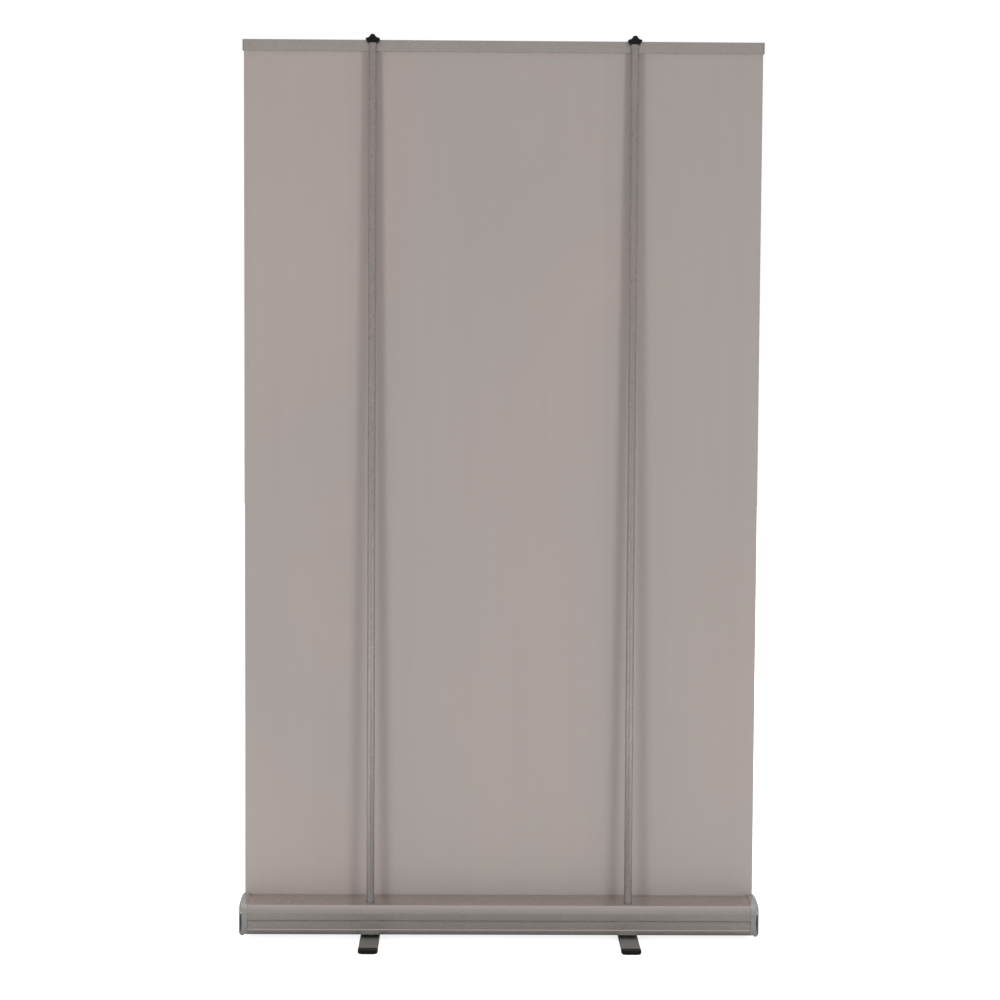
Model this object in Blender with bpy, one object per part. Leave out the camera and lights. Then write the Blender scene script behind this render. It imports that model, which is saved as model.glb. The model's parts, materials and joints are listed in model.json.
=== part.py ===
"""Roll-up banner stand, 1200 mm wide, built as an assembly of separate pieces.

Frame: origin on the floor under the middle of the cassette, +Z up, +X along the cassette.
The poles stand on the -Y side, which is the back of the banner; the graphic faces +Y.
The stand is shown pulled out and standing, with both feet turned out.
"""
import math

import bmesh
import bpy
from mathutils import Matrix, Vector

MM = 0.001
GAP = 0.3 * MM                       # clearance between pieces that touch

# Banner film
FILM_WIDTH = 1200 * MM
FILM_THICKNESS = 0.5 * MM
FILM_Y = 30.55 * MM                  # the film hangs in this vertical plane
FILM_TOP_Z = 2068 * MM

# Cassette: a floor tray and a curved rear cover, both extruded
EXTRUSION_LENGTH = 1206 * MM
REAR_Y = -51 * MM
FRONT_Y = 51 * MM
TRAY_BOTTOM_Z = 14 * MM
TRAY_WALL = 2 * MM
TRAY_RIM_Z = 44 * MM                 # top of the tray's rear wall, where the groove runs
TONGUE_TOP_Z = 50 * MM
COVER_WALL = 1.8 * MM
COVER_BOTTOM_Z = 45.6 * MM
SHOULDER_Y = -21 * MM                # centre of the cover's rear shoulder arc
SHOULDER_Z = 62 * MM
SHOULDER_RADIUS = 30 * MM
SHOULDER_END = math.radians(138)     # the crease between the shoulder and the top
SLOT_REAR_Y = 27.3 * MM
SLOT_FRONT_Y = 33.9 * MM
SLOT_Z = 90 * MM
CROWN = (-6 * MM, 91 * MM)            # pulls the cover's top up between crease and slot
FRONT_SHOULDER_Z = 72 * MM

# End caps, which sleeve over the ends of the cassette
CAP_OUTSET = 2.6 * MM
CAP_INNER_X = 588 * MM
CAP_PLATE_X = 603.3 * MM
CAP_OUTER_X = 608 * MM
CAP_DOME = 9 * MM
CAP_FLOOR_X = 597 * MM                # inward of this the cap has no underside
SCREW_Y = 43.8 * MM
SCREW_Z = 20.8 * MM
SCREW_PORT_RADIUS = 5 * MM
SCREW_RADIUS = 2 * MM
SCREW_SEAT_X = 605.8 * MM

# Roller and its spring
ROLLER_Y = 10 * MM
ROLLER_Z = 52 * MM
ROLLER_RADIUS = 16 * MM
ROLLER_WALL = 1.2 * MM
ROLLER_LENGTH = 1198 * MM
WRAP_RADIUS = 20 * MM
PLUG_FACE_X = 594 * MM
PLUG_LENGTH = 20 * MM
AXLE_END_X = 604.5 * MM
SHAFT_ACROSS_FLATS = 8 * MM
SHAFT_INNER_X = 250 * MM
IDLE_AXLE_RADIUS = 4 * MM
IDLE_AXLE_INNER_X = 566 * MM
BOSS_RADIUS = 9 * MM
BOSS_INNER_X = 596 * MM
SPRING_RADIUS = 10.5 * MM
SPRING_WIRE_RADIUS = 1 * MM
SPRING_START_X = 547.5 * MM
SPRING_END_X = 269.6 * MM
SPRING_TURNS = 17

# Feet, one near each end, turning on vertical bolts
SUPPORT_X = 302 * MM                 # feet and poles stand this far from the middle
FOOT_LENGTH = 354 * MM
FOOT_WIDTH = 45 * MM
FOOT_BAR_BOTTOM_Z = 0.8 * MM
FOOT_BAR_HEIGHT = 8 * MM
FOOT_WALL = 1.4 * MM
FOOT_PLUG_LENGTH = 26 * MM
FOOT_PLUG_HEIGHT = 9.6 * MM
FOOT_PLUG_WIDTH = 45.8 * MM
FOOT_PLUG_CORNER = 12 * MM
FOOT_TONGUE_LENGTH = 18 * MM
PIVOT_RADIUS = 3.9 * MM
PIVOT_HEAD_RADIUS = 8 * MM
PIVOT_HEAD_TOP_Z = 20.5 * MM
WASHER_RADIUS = 15 * MM
NUT_ACROSS_FLATS = 13 * MM
NUT_BOTTOM_Z = 2.8 * MM
NUT_TOP_Z = 6.9 * MM

# Poles: three tubes each, leaning forward from the cassette to the rail
POLE_RADIUS = 9 * MM
POLE_WALL = 0.8 * MM
POLE_BASE_Y = -23.04 * MM
POLE_BASE_Z = 58 * MM
POLE_TOP_Y = 13.52 * MM
POLE_TOP_Z = 2083 * MM
POLE_LEAN = math.atan2(POLE_TOP_Y - POLE_BASE_Y, POLE_TOP_Z - POLE_BASE_Z)
POLE_LENGTH = math.hypot(POLE_TOP_Y - POLE_BASE_Y, POLE_TOP_Z - POLE_BASE_Z)
SECTION_LENGTH = POLE_LENGTH / 3
FERRULE_RADIUS = 7.9 * MM
FERRULE_BORE = 6.9 * MM
FERRULE_REACH = 45 * MM              # how far a ferrule goes into each tube
POLE_PLUG_FLANGE = 4 * MM
POLE_PLUG_DEPTH = 24 * MM
CORD_RADIUS = 1.5 * MM
SOCKET_RADIUS = 11 * MM
SOCKET_BORE = 9.4 * MM
SOCKET_TOP_Z = 77 * MM
SOCKET_BOTTOM_Z = 16.7 * MM
SOCKET_SCREW_RADIUS = 2.5 * MM
POLE_HOLE_RADIUS = 9.9 * MM

# Hook on top of each pole
HOOK_HALF_WIDTH = 16.2 * MM
HOOK_FOOT_HALF_WIDTH = 11 * MM
HOOK_SKIRT = 1 * MM                  # how far it comes down round the tube
HOOK_WING = (6 * MM, 9 * MM)         # underside and top of a wing's tip
HOOK_PEAK = 18.2 * MM
HOOK_PEAK_HALF_WIDTH = 4 * MM
HOOK_BACK = 11.2 * MM
HOOK_FINGER_TIP = 1 * MM
HOOK_FINGER_FRONT_Y = 29.2 * MM

# Clamp rail
RAIL_LENGTH = 1200 * MM
RAIL_END_CAP = 2.5 * MM
RAIL_BOTTOM_Z = 2064 * MM
RAIL_TOP_Z = 2090 * MM
RAIL_REAR_Y = 24 * MM
RAIL_WALL = 2 * MM
RAIL_MID_Y = 30.4 * MM
RAIL_GROOVE_Z = 2079 * MM
RAIL_FRONT_Y = 40 * MM
JAW_Y = 35.6 * MM
JAW_Z = 2085.4 * MM
JAW_BEAD = 2 * MM
JAW_SEAT_OUTER = 4.2 * MM
CLAMP_LIP_TOP_Z = 2070 * MM

COLLECTION = bpy.data.collections.new("rollup_banner_stand")
CUTTERS = bpy.data.collections.new("cutters")
PROFILE_AXES = Matrix(((0, 0, 1, 0), (1, 0, 0, 0), (0, 1, 0, 0), (0, 0, 0, 1)))


# ---------------------------------------------------------------- general helpers

def clear_scene():
    """Remove whatever objects the file starts with."""
    for obj in list(bpy.data.objects):
        bpy.data.objects.remove(obj, do_unlink=True)


def make_material(name, colour, roughness, metallic):
    """A plain Principled material."""
    mat = bpy.data.materials.new(name)
    mat.use_nodes = True
    shader = mat.node_tree.nodes["Principled BSDF"]
    shader.inputs["Base Color"].default_value = (*colour, 1.0)
    shader.inputs["Roughness"].default_value = roughness
    shader.inputs["Metallic"].default_value = metallic
    mat.diffuse_color = (*colour, 1.0)
    return mat


def finish_mesh(bm, name):
    """Close up a bmesh and turn it into mesh data with outward normals."""
    bmesh.ops.remove_doubles(bm, verts=bm.verts, dist=1e-6)
    bmesh.ops.triangulate(bm, faces=bm.faces)
    bmesh.ops.recalc_face_normals(bm, faces=bm.faces)
    mesh = bpy.data.meshes.new(name)
    bm.to_mesh(mesh)
    bm.free()
    return mesh


def add_frame(name, parent, location, lean=0.0):
    """An empty that carries a moving group; its origin lies on the joint's axis."""
    frame = bpy.data.objects.new(name, None)
    frame.empty_display_size = 0.03
    COLLECTION.objects.link(frame)
    frame.parent = parent
    frame.location = location
    frame.rotation_euler = (-lean, 0.0, 0.0)
    return frame


def add_piece(name, mesh, mat, parent, location=(0, 0, 0), rotation=(0, 0, 0), smooth=True):
    """One named sub-part with its own material."""
    mesh.materials.append(mat)
    piece = bpy.data.objects.new(name, mesh)
    COLLECTION.objects.link(piece)
    piece.parent = parent
    piece.location = location
    piece.rotation_euler = rotation
    if smooth:
        mesh.shade_smooth()
        mesh.set_sharp_from_angle(angle=math.radians(32))
    return piece


def add_cutter(name, mesh, parent, location=(0, 0, 0), rotation=(0, 0, 0)):
    """A hidden tool body for a Boolean."""
    tool = bpy.data.objects.new(name, mesh)
    CUTTERS.objects.link(tool)
    tool.parent = parent
    tool.location = location
    tool.rotation_euler = rotation
    tool.hide_render = True
    tool.display_type = "WIRE"
    return tool


def combine(piece, tool, operation):
    """Apply one Boolean operation as a modifier."""
    modifier = piece.modifiers.new(f"{operation.lower()}_{tool.name}", "BOOLEAN")
    modifier.operation = operation
    modifier.solver = "EXACT"
    modifier.object = tool


def cut(piece, tool):
    combine(piece, tool, "DIFFERENCE")


def fuse(piece, tool):
    combine(piece, tool, "UNION")


def weld(piece):
    """Merge the near-coincident corners that a chain of Booleans leaves behind."""
    modifier = piece.modifiers.new("weld", "WELD")
    modifier.merge_threshold = 0.00003


# ---------------------------------------------------------------- mesh builders

def profile_body(name, outline, length):
    """A bmesh prism along X, centred on x = 0, whose YZ section is the given outline."""
    curve = bpy.data.curves.new(name, "CURVE")
    curve.dimensions = "2D"
    curve.fill_mode = "BOTH"
    curve.extrude = length / 2
    spline = curve.splines.new("POLY")
    spline.points.add(len(outline) - 1)
    for point, (y, z) in zip(spline.points, outline):
        point.co = (y, z, 0.0, 1.0)
    spline.use_cyclic_u = True
    holder = bpy.data.objects.new(name, curve)
    CUTTERS.objects.link(holder)
    drawn = bpy.data.meshes.new_from_object(holder)
    bpy.data.objects.remove(holder, do_unlink=True)
    bm = bmesh.new()
    bm.from_mesh(drawn)
    bmesh.ops.transform(bm, matrix=PROFILE_AXES, verts=bm.verts)
    bpy.data.meshes.remove(drawn)
    bmesh.ops.remove_doubles(bm, verts=bm.verts, dist=1e-6)
    bmesh.ops.dissolve_limit(
        bm, angle_limit=math.radians(0.5), verts=bm.verts, edges=bm.edges
    )
    return bm


def profile_mesh(name, outline, length):
    """The same prism as mesh data."""
    return finish_mesh(profile_body(name, outline, length), name)


def turned_mesh(name, profile, segments=32, along="Z", closed=False):
    """A body of revolution from (radius, height) points, about Z or laid along X."""
    bm = bmesh.new()
    verts = [bm.verts.new((radius, 0.0, height)) for radius, height in profile]
    edges = [bm.edges.new(pair) for pair in zip(verts, verts[1:])]
    if closed:
        edges.append(bm.edges.new((verts[-1], verts[0])))
    bmesh.ops.spin(
        bm, geom=verts + edges, cent=(0, 0, 0), axis=(0, 0, 1), angle=math.tau, steps=segments
    )
    if along == "X":
        turn = Matrix.Rotation(math.radians(90), 4, "Y")
        bmesh.ops.transform(bm, matrix=turn, verts=bm.verts)
    return finish_mesh(bm, name)


def rod_mesh(name, radius, start, end, segments=24, along="Z"):
    """A solid round rod from start to end."""
    profile = [(0.0, start), (radius, start), (radius, end), (0.0, end)]
    return turned_mesh(name, profile, segments, along)


def tube_mesh(name, outer, inner, start, end, segments=32, along="Z"):
    """A plain tube from start to end."""
    profile = [(outer, start), (outer, end), (inner, end), (inner, start)]
    return turned_mesh(name, profile, segments, along, closed=True)


def hex_mesh(name, across_flats, start, end, along="Z"):
    """A hexagonal bar from start to end."""
    return rod_mesh(name, across_flats / math.sqrt(3), start, end, 6, along)


def box_body(low, high):
    """A bmesh box between two opposite corners."""
    bm = bmesh.new()
    bmesh.ops.create_cube(bm, size=1.0)
    size = Vector(high) - Vector(low)
    middle = (Vector(high) + Vector(low)) / 2
    bmesh.ops.scale(bm, vec=size, verts=bm.verts)
    bmesh.ops.translate(bm, vec=middle, verts=bm.verts)
    return bm


def box_mesh(name, low, high):
    """The same box as mesh data."""
    return finish_mesh(box_body(low, high), name)


# ---------------------------------------------------------------- outline geometry

def arc(centre, radius, start, end, steps):
    """Points along a circular arc, both ends included."""
    angles = [start + (end - start) * i / steps for i in range(steps + 1)]
    return [(centre[0] + radius * math.cos(a), centre[1] + radius * math.sin(a)) for a in angles]


def bend(start, control, end, steps):
    """Points along a quadratic curve, both ends included."""
    points = []
    for i in range(steps + 1):
        t = i / steps
        weights = ((1 - t) ** 2, 2 * t * (1 - t), t * t)
        points.append(tuple(
            weights[0] * a + weights[1] * b + weights[2] * c
            for a, b, c in zip(start, control, end)
        ))
    return points


def offset_path(points, distance, closed=False):
    """Shift a path to its left by distance, keeping its corners mitred."""
    shifted = []
    count = len(points)
    for i, point in enumerate(points):
        before = points[i - 1] if (closed or i > 0) else None
        after = points[(i + 1) % count] if (closed or i < count - 1) else None
        normals = []
        for a, b in ((before, point), (point, after)):
            if a is None or b is None:
                continue
            step = (Vector(b) - Vector(a)).normalized()
            normals.append(Vector((-step.y, step.x)))
        miter = sum(normals, Vector((0, 0))).normalized()
        reach = distance / miter.dot(normals[0])
        shifted.append((point[0] + miter.x * reach, point[1] + miter.y * reach))
    return shifted


def rear_skin():
    """Outer line of the cover, from its bottom edge at the rear to the slot."""
    shoulder = arc((SHOULDER_Y, SHOULDER_Z), SHOULDER_RADIUS, math.pi, SHOULDER_END, 9)
    top = bend(shoulder[-1], CROWN, (SLOT_REAR_Y, SLOT_Z), 8)
    return [(REAR_Y, COVER_BOTTOM_Z)] + shoulder + top[1:]


def front_skin():
    """Outer line of the tray's front wall, from the slot down to the floor corner."""
    shoulder = bend((SLOT_FRONT_Y, SLOT_Z), (FRONT_Y, SLOT_Z), (FRONT_Y, FRONT_SHOULDER_Z), 8)
    return shoulder + [(FRONT_Y, TRAY_BOTTOM_Z)]


def cassette_outline():
    """The closed outline of the whole cassette, running clockwise from the rear corner."""
    return [(REAR_Y, TRAY_BOTTOM_Z)] + rear_skin()[1:] + front_skin()


# ---------------------------------------------------------------- cassette

def build_cover(parent, mat):
    """The curved rear cover, with a round hole in its top for each pole."""
    outer = rear_skin()
    inner = offset_path(outer, -COVER_WALL)
    cover = add_piece(
        "cassette_cover", profile_mesh("cassette_cover", outer + inner[::-1], EXTRUSION_LENGTH),
        mat, parent,
    )
    for side, sign in (("left", -1), ("right", 1)):
        tool = add_cutter(
            f"pole_hole_{side}", rod_mesh(f"pole_hole_{side}", POLE_HOLE_RADIUS, 0, 60 * MM, 32),
            parent, (sign * SUPPORT_X, POLE_BASE_Y, POLE_BASE_Z), (-POLE_LEAN, 0, 0),
        )
        cut(cover, tool)
    weld(cover)


def tray_outline():
    """Section of the floor tray: front wall, floor and low rear wall with its tongue."""
    front = front_skin()
    inner_front = offset_path(front[:-1], -TRAY_WALL)
    floor_z = TRAY_BOTTOM_Z + TRAY_WALL
    tongue_outer = REAR_Y + COVER_WALL + GAP
    tongue_inner = tongue_outer + 1.6 * MM
    rear = [
        (REAR_Y, TRAY_BOTTOM_Z),
        (REAR_Y, TRAY_RIM_Z),
        (tongue_outer, TRAY_RIM_Z),
        (tongue_outer, TONGUE_TOP_Z),
        (tongue_inner, TONGUE_TOP_Z),
        (tongue_inner, floor_z),
        (FRONT_Y - TRAY_WALL, floor_z),
    ]
    return front + rear + inner_front[::-1]


def build_tray(parent, mat):
    """The floor tray, with screw ports in its corners and the bolt holes in its floor."""
    tray = add_piece(
        "base_tray", profile_mesh("base_tray", tray_outline(), EXTRUSION_LENGTH), mat, parent
    )
    half = EXTRUSION_LENGTH / 2
    for side, sign in (("rear", -1), ("front", 1)):
        place = (0, sign * SCREW_Y, SCREW_Z)
        port = rod_mesh(f"screw_port_{side}", SCREW_PORT_RADIUS, -half, half, 16, "X")
        fuse(tray, add_cutter(f"screw_port_{side}", port, parent, place))
        bore = rod_mesh(f"screw_bore_{side}", SCREW_RADIUS + GAP, -0.7, 0.7, 12, "X")
        cut(tray, add_cutter(f"screw_bore_{side}", bore, parent, place))
    for side, sign in (("left", -1), ("right", 1)):
        bolt = rod_mesh(f"bolt_hole_{side}", PIVOT_RADIUS + GAP, 5 * MM, 25 * MM, 24)
        cut(tray, add_cutter(f"bolt_hole_{side}", bolt, parent, (sign * SUPPORT_X, 0, 0)))
        screw = rod_mesh(f"socket_hole_{side}", SOCKET_SCREW_RADIUS + GAP, 5 * MM, 16.4 * MM, 16)
        cut(tray, add_cutter(
            f"socket_hole_{side}", screw, parent, (sign * SUPPORT_X, socket_axis_y(), 0)
        ))
    weld(tray)


def cap_shell_mesh(name):
    """A solid cap body with a domed outer face, drawn for the +X end."""
    outline = offset_path(cassette_outline(), CAP_OUTSET, closed=True)
    length = CAP_OUTER_X - CAP_INNER_X
    bm = profile_body(name, outline, length)
    bmesh.ops.translate(bm, vec=((CAP_OUTER_X + CAP_INNER_X) / 2, 0, 0), verts=bm.verts)
    rim = [
        edge for edge in bm.edges
        if all(v.co.x > CAP_OUTER_X - 1e-5 for v in edge.verts)
        and edge.calc_face_angle(0.0) > math.radians(60)
    ]
    bmesh.ops.bevel(bm, geom=rim, offset=CAP_DOME, segments=5, profile=0.5, affect="EDGES")
    return finish_mesh(bm, name)


def build_cap(side, sign, parent, mat):
    """An end cap that sleeves over the cassette and holds the roller's axle."""
    name = f"end_cap_{side}"
    cap = add_piece(name, mirrored(cap_shell_mesh(name), sign), mat, parent)
    cavity = profile_mesh(
        f"{name}_cavity", offset_path(cassette_outline(), GAP, closed=True), 40 * MM
    )
    depth_x = sign * (CAP_PLATE_X - 20 * MM)
    cut(cap, add_cutter(f"{name}_cavity", cavity, parent, (depth_x, 0, 0)))
    low = (CAP_PLATE_X - 40 * MM, SLOT_REAR_Y, 83 * MM)
    high = (CAP_PLATE_X, SLOT_FRONT_Y, 105 * MM)
    notch = mirrored(box_mesh(f"{name}_notch", low, high), sign)
    cut(cap, add_cutter(f"{name}_notch", notch, parent))
    low = (CAP_INNER_X - 2 * MM, -60 * MM, 5 * MM)
    high = (CAP_FLOOR_X, 60 * MM, TRAY_BOTTOM_Z + 1 * MM)
    underside = mirrored(box_mesh(f"{name}_underside", low, high), sign)
    cut(cap, add_cutter(f"{name}_underside", underside, parent))
    axis = (0, ROLLER_Y, ROLLER_Z)
    boss = rod_mesh(f"{name}_boss", BOSS_RADIUS, BOSS_INNER_X, CAP_PLATE_X + 2 * MM, 24, "X")
    fuse(cap, add_cutter(f"{name}_boss", mirrored(boss, sign), parent, axis))
    if side == "left":
        bore = hex_mesh(
            f"{name}_bore", SHAFT_ACROSS_FLATS + 2 * GAP, 590 * MM, AXLE_END_X + GAP, "X"
        )
    else:
        bore = rod_mesh(
            f"{name}_bore", IDLE_AXLE_RADIUS + GAP, 590 * MM, AXLE_END_X + GAP, 24, "X"
        )
    cut(cap, add_cutter(f"{name}_bore", mirrored(bore, sign), parent, axis))
    for place, y in (("rear", -SCREW_Y), ("front", SCREW_Y)):
        hole = turned_mesh(
            f"{name}_{place}_hole",
            [
                (0, 600 * MM),
                (SCREW_RADIUS + GAP, 600 * MM),
                (SCREW_RADIUS + GAP, SCREW_SEAT_X),
                (4 * MM, SCREW_SEAT_X),
                (4 * MM, 615 * MM),
                (0, 615 * MM),
            ],
            20, "X",
        )
        tool = add_cutter(
            f"{name}_{place}_hole", mirrored(hole, sign), parent, (0, y, SCREW_Z)
        )
        cut(cap, tool)
    weld(cap)


def mirrored(mesh, sign):
    """The same mesh, reflected to the other end when sign is negative."""
    if sign < 0:
        bm = bmesh.new()
        bm.from_mesh(mesh)
        bmesh.ops.scale(bm, vec=(-1, 1, 1), verts=bm.verts)
        bmesh.ops.recalc_face_normals(bm, faces=bm.faces)
        bm.to_mesh(mesh)
        bm.free()
    return mesh


def build_cap_screws(side, sign, parent, mat):
    """Two self-tapping screws that hold an end cap to the tray's screw ports."""
    for place, y in (("rear", -SCREW_Y), ("front", SCREW_Y)):
        name = f"cap_screw_{side}_{place}"
        head_x = SCREW_SEAT_X + GAP
        profile = [
            (0, head_x - 16 * MM),
            (SCREW_RADIUS * 0.6, head_x - 16 * MM),
            (SCREW_RADIUS, head_x - 14 * MM),
            (SCREW_RADIUS, head_x),
            (3.5 * MM, head_x),
            (3.5 * MM, head_x + 1.0 * MM),
            (2.6 * MM, head_x + 1.7 * MM),
            (0, head_x + 1.9 * MM),
        ]
        mesh = mirrored(turned_mesh(name, profile, 12, "X"), sign)
        add_piece(name, mesh, mat, parent, (0, y, SCREW_Z))


# ---------------------------------------------------------------- roller

def build_shafts(parent, steel, plastic):
    """The fixed hexagonal spring shaft, its collar, the idle axle and the spring."""
    axis = (0, ROLLER_Y, ROLLER_Z)
    shaft = hex_mesh("spring_shaft", SHAFT_ACROSS_FLATS, -AXLE_END_X, -SHAFT_INNER_X, "X")
    add_piece("spring_shaft", shaft, steel, parent, axis, smooth=False)
    axle = rod_mesh("idle_axle", IDLE_AXLE_RADIUS, IDLE_AXLE_INNER_X, AXLE_END_X, 24, "X")
    add_piece("idle_axle", axle, steel, parent, axis)
    collar = add_piece(
        "shaft_collar", rod_mesh("shaft_collar", 8 * MM, -560 * MM, -549 * MM, 24, "X"),
        plastic, parent, axis,
    )
    bore = hex_mesh(
        "collar_bore", SHAFT_ACROSS_FLATS + 2 * GAP, -570 * MM, -540 * MM, "X"
    )
    cut(collar, add_cutter("collar_bore", bore, parent, axis))


def build_spring(parent, mat):
    """The counterbalance spring, a long coil round the shaft."""
    curve = bpy.data.curves.new("torsion_spring", "CURVE")
    curve.dimensions = "3D"
    curve.bevel_depth = SPRING_WIRE_RADIUS
    curve.bevel_resolution = 0
    curve.use_fill_caps = True
    spline = curve.splines.new("POLY")
    per_turn = 8
    count = SPRING_TURNS * per_turn
    spline.points.add(count)
    for i, point in enumerate(spline.points):
        angle = math.tau * i / per_turn
        x = -SPRING_START_X + (SPRING_START_X - SPRING_END_X) * i / count
        point.co = (x, SPRING_RADIUS * math.cos(angle), SPRING_RADIUS * math.sin(angle), 1.0)
    holder = bpy.data.objects.new("torsion_spring", curve)
    CUTTERS.objects.link(holder)
    drawn = bpy.data.meshes.new_from_object(holder)
    bpy.data.objects.remove(holder, do_unlink=True)
    bm = bmesh.new()
    bm.from_mesh(drawn)
    bpy.data.meshes.remove(drawn)
    add_piece(
        "torsion_spring", finish_mesh(bm, "torsion_spring"), mat, parent, (0, ROLLER_Y, ROLLER_Z)
    )


def build_roller(frame, aluminium, plastic, film):
    """The turning tube, its two end plugs, the spring anchor and the wound film."""
    half = ROLLER_LENGTH / 2
    inner = ROLLER_RADIUS - ROLLER_WALL
    tube = tube_mesh("roller_tube", ROLLER_RADIUS, inner, -half, half, 32, "X")
    add_piece("roller_tube", tube, aluminium, frame)
    hex_clearance = SHAFT_ACROSS_FLATS / math.sqrt(3) + GAP
    plugs = (
        ("roller_plug_spring", -PLUG_FACE_X, -PLUG_FACE_X + PLUG_LENGTH, hex_clearance),
        ("spring_anchor", -268 * MM, -254 * MM, hex_clearance),
        ("roller_plug_idle", PLUG_FACE_X - PLUG_LENGTH, PLUG_FACE_X, IDLE_AXLE_RADIUS + GAP),
    )
    for name, start, end, bore in plugs:
        add_piece(name, tube_mesh(name, inner - GAP, bore, start, end, 24, "X"), plastic, frame)
    wrap = tube_mesh(
        "film_wrap", WRAP_RADIUS, ROLLER_RADIUS + GAP, -FILM_WIDTH / 2, FILM_WIDTH / 2, 40, "X"
    )
    add_piece("film_wrap", wrap, film, frame)


def build_film(parent, mat):
    """The hanging film, from the roller's front tangent up into the rail's clamp."""
    low = (-FILM_WIDTH / 2, FILM_Y - FILM_THICKNESS / 2, ROLLER_Z)
    high = (FILM_WIDTH / 2, FILM_Y + FILM_THICKNESS / 2, FILM_TOP_Z)
    add_piece("banner_film", box_mesh("banner_film", low, high), mat, parent, smooth=False)


# ---------------------------------------------------------------- feet

def foot_bar_mesh(name):
    """A flat hollow bar along Y, centred on its pivot."""
    half = FOOT_LENGTH / 2 - FOOT_PLUG_LENGTH
    bm = box_body(
        (-FOOT_WIDTH / 2, -half, FOOT_BAR_BOTTOM_Z),
        (FOOT_WIDTH / 2, half, FOOT_BAR_BOTTOM_Z + FOOT_BAR_HEIGHT),
    )
    long_edges = [e for e in bm.edges if abs(e.verts[0].co.y - e.verts[1].co.y) > half]
    bmesh.ops.bevel(bm, geom=long_edges, offset=1.6 * MM, segments=3, profile=0.5, affect="EDGES")
    return finish_mesh(bm, name)


def build_foot(side, frame, aluminium, plastic):
    """One swing-out foot: a hollow bar and a plug in each end."""
    name = f"foot_bar_{side}"
    bar = add_piece(name, foot_bar_mesh(name), aluminium, frame)
    hollow = box_mesh(
        f"{name}_hollow",
        (-FOOT_WIDTH / 2 + FOOT_WALL, -0.3, FOOT_BAR_BOTTOM_Z + FOOT_WALL),
        (FOOT_WIDTH / 2 - FOOT_WALL, 0.3, FOOT_BAR_BOTTOM_Z + FOOT_BAR_HEIGHT - FOOT_WALL),
    )
    cut(bar, add_cutter(f"{name}_hollow", hollow, frame))
    pivot = rod_mesh(f"{name}_pivot", PIVOT_RADIUS + GAP, 5 * MM, 12 * MM, 24)
    cut(bar, add_cutter(f"{name}_pivot", pivot, frame))
    access = rod_mesh(f"{name}_access", 8.5 * MM, -2 * MM, 4 * MM, 24)
    cut(bar, add_cutter(f"{name}_access", access, frame))
    for end, sign in (("rear", -1), ("front", 1)):
        build_foot_plug(f"foot_plug_{side}_{end}", sign, frame, plastic)


def build_foot_plug(name, sign, frame, mat):
    """A moulded plug: a rounded nose that meets the floor and a tongue inside the bar."""
    root = FOOT_LENGTH / 2 - FOOT_PLUG_LENGTH + GAP
    tip = FOOT_LENGTH / 2
    bm = box_body((-FOOT_PLUG_WIDTH / 2, root, 0), (FOOT_PLUG_WIDTH / 2, tip, FOOT_PLUG_HEIGHT))
    corners = [
        e for e in bm.edges
        if abs(e.verts[0].co.z - e.verts[1].co.z) > 5 * MM and e.verts[0].co.y > tip - 1e-5
    ]
    bmesh.ops.bevel(
        bm, geom=corners, offset=FOOT_PLUG_CORNER, segments=5, profile=0.5, affect="EDGES"
    )
    top_rim = [
        e for e in bm.edges
        if all(v.co.z > FOOT_PLUG_HEIGHT - 1e-5 for v in e.verts) and len(e.link_faces) == 2
    ]
    bmesh.ops.bevel(bm, geom=top_rim, offset=1.2 * MM, segments=2, profile=0.5, affect="EDGES")
    turn = Matrix.Rotation(math.pi if sign < 0 else 0.0, 4, "Z")
    bmesh.ops.transform(bm, matrix=turn, verts=bm.verts)
    plug = add_piece(name, finish_mesh(bm, name), mat, frame)
    inset = FOOT_WALL + GAP
    tongue = box_mesh(
        f"{name}_tongue",
        (-FOOT_WIDTH / 2 + inset, root - FOOT_TONGUE_LENGTH, FOOT_BAR_BOTTOM_Z + inset),
        (FOOT_WIDTH / 2 - inset, root + 5 * MM, FOOT_BAR_BOTTOM_Z + FOOT_BAR_HEIGHT - inset),
    )
    fuse(plug, add_cutter(
        f"{name}_tongue", tongue, frame, rotation=(0, 0, math.pi if sign < 0 else 0.0)
    ))


def build_pivot(side, place, parent, mat):
    """The bolt, spacer washer and lock nut on which a foot turns."""
    floor_top = TRAY_BOTTOM_Z + TRAY_WALL
    bolt = turned_mesh(
        f"pivot_bolt_{side}",
        [
            (0, NUT_BOTTOM_Z),
            (PIVOT_RADIUS, NUT_BOTTOM_Z),
            (PIVOT_RADIUS, floor_top + GAP),
            (PIVOT_HEAD_RADIUS, floor_top + GAP),
            (PIVOT_HEAD_RADIUS, PIVOT_HEAD_TOP_Z - 1.5 * MM),
            (PIVOT_HEAD_RADIUS - 2 * MM, PIVOT_HEAD_TOP_Z),
            (0, PIVOT_HEAD_TOP_Z),
        ],
        24,
    )
    add_piece(f"pivot_bolt_{side}", bolt, mat, parent, place)
    washer = tube_mesh(
        f"pivot_washer_{side}", WASHER_RADIUS, PIVOT_RADIUS + GAP,
        FOOT_BAR_BOTTOM_Z + FOOT_BAR_HEIGHT + GAP, TRAY_BOTTOM_Z - GAP, 24,
    )
    add_piece(f"pivot_washer_{side}", washer, mat, parent, place)
    nut_name = f"pivot_nut_{side}"
    nut = add_piece(
        nut_name, hex_mesh(nut_name, NUT_ACROSS_FLATS, NUT_BOTTOM_Z, NUT_TOP_Z), mat, parent,
        place, smooth=False,
    )
    bore = rod_mesh(f"{nut_name}_bore", PIVOT_RADIUS + GAP, 0, 10 * MM, 24)
    cut(nut, add_cutter(f"{nut_name}_bore", bore, parent, place))


# ---------------------------------------------------------------- poles

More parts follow.
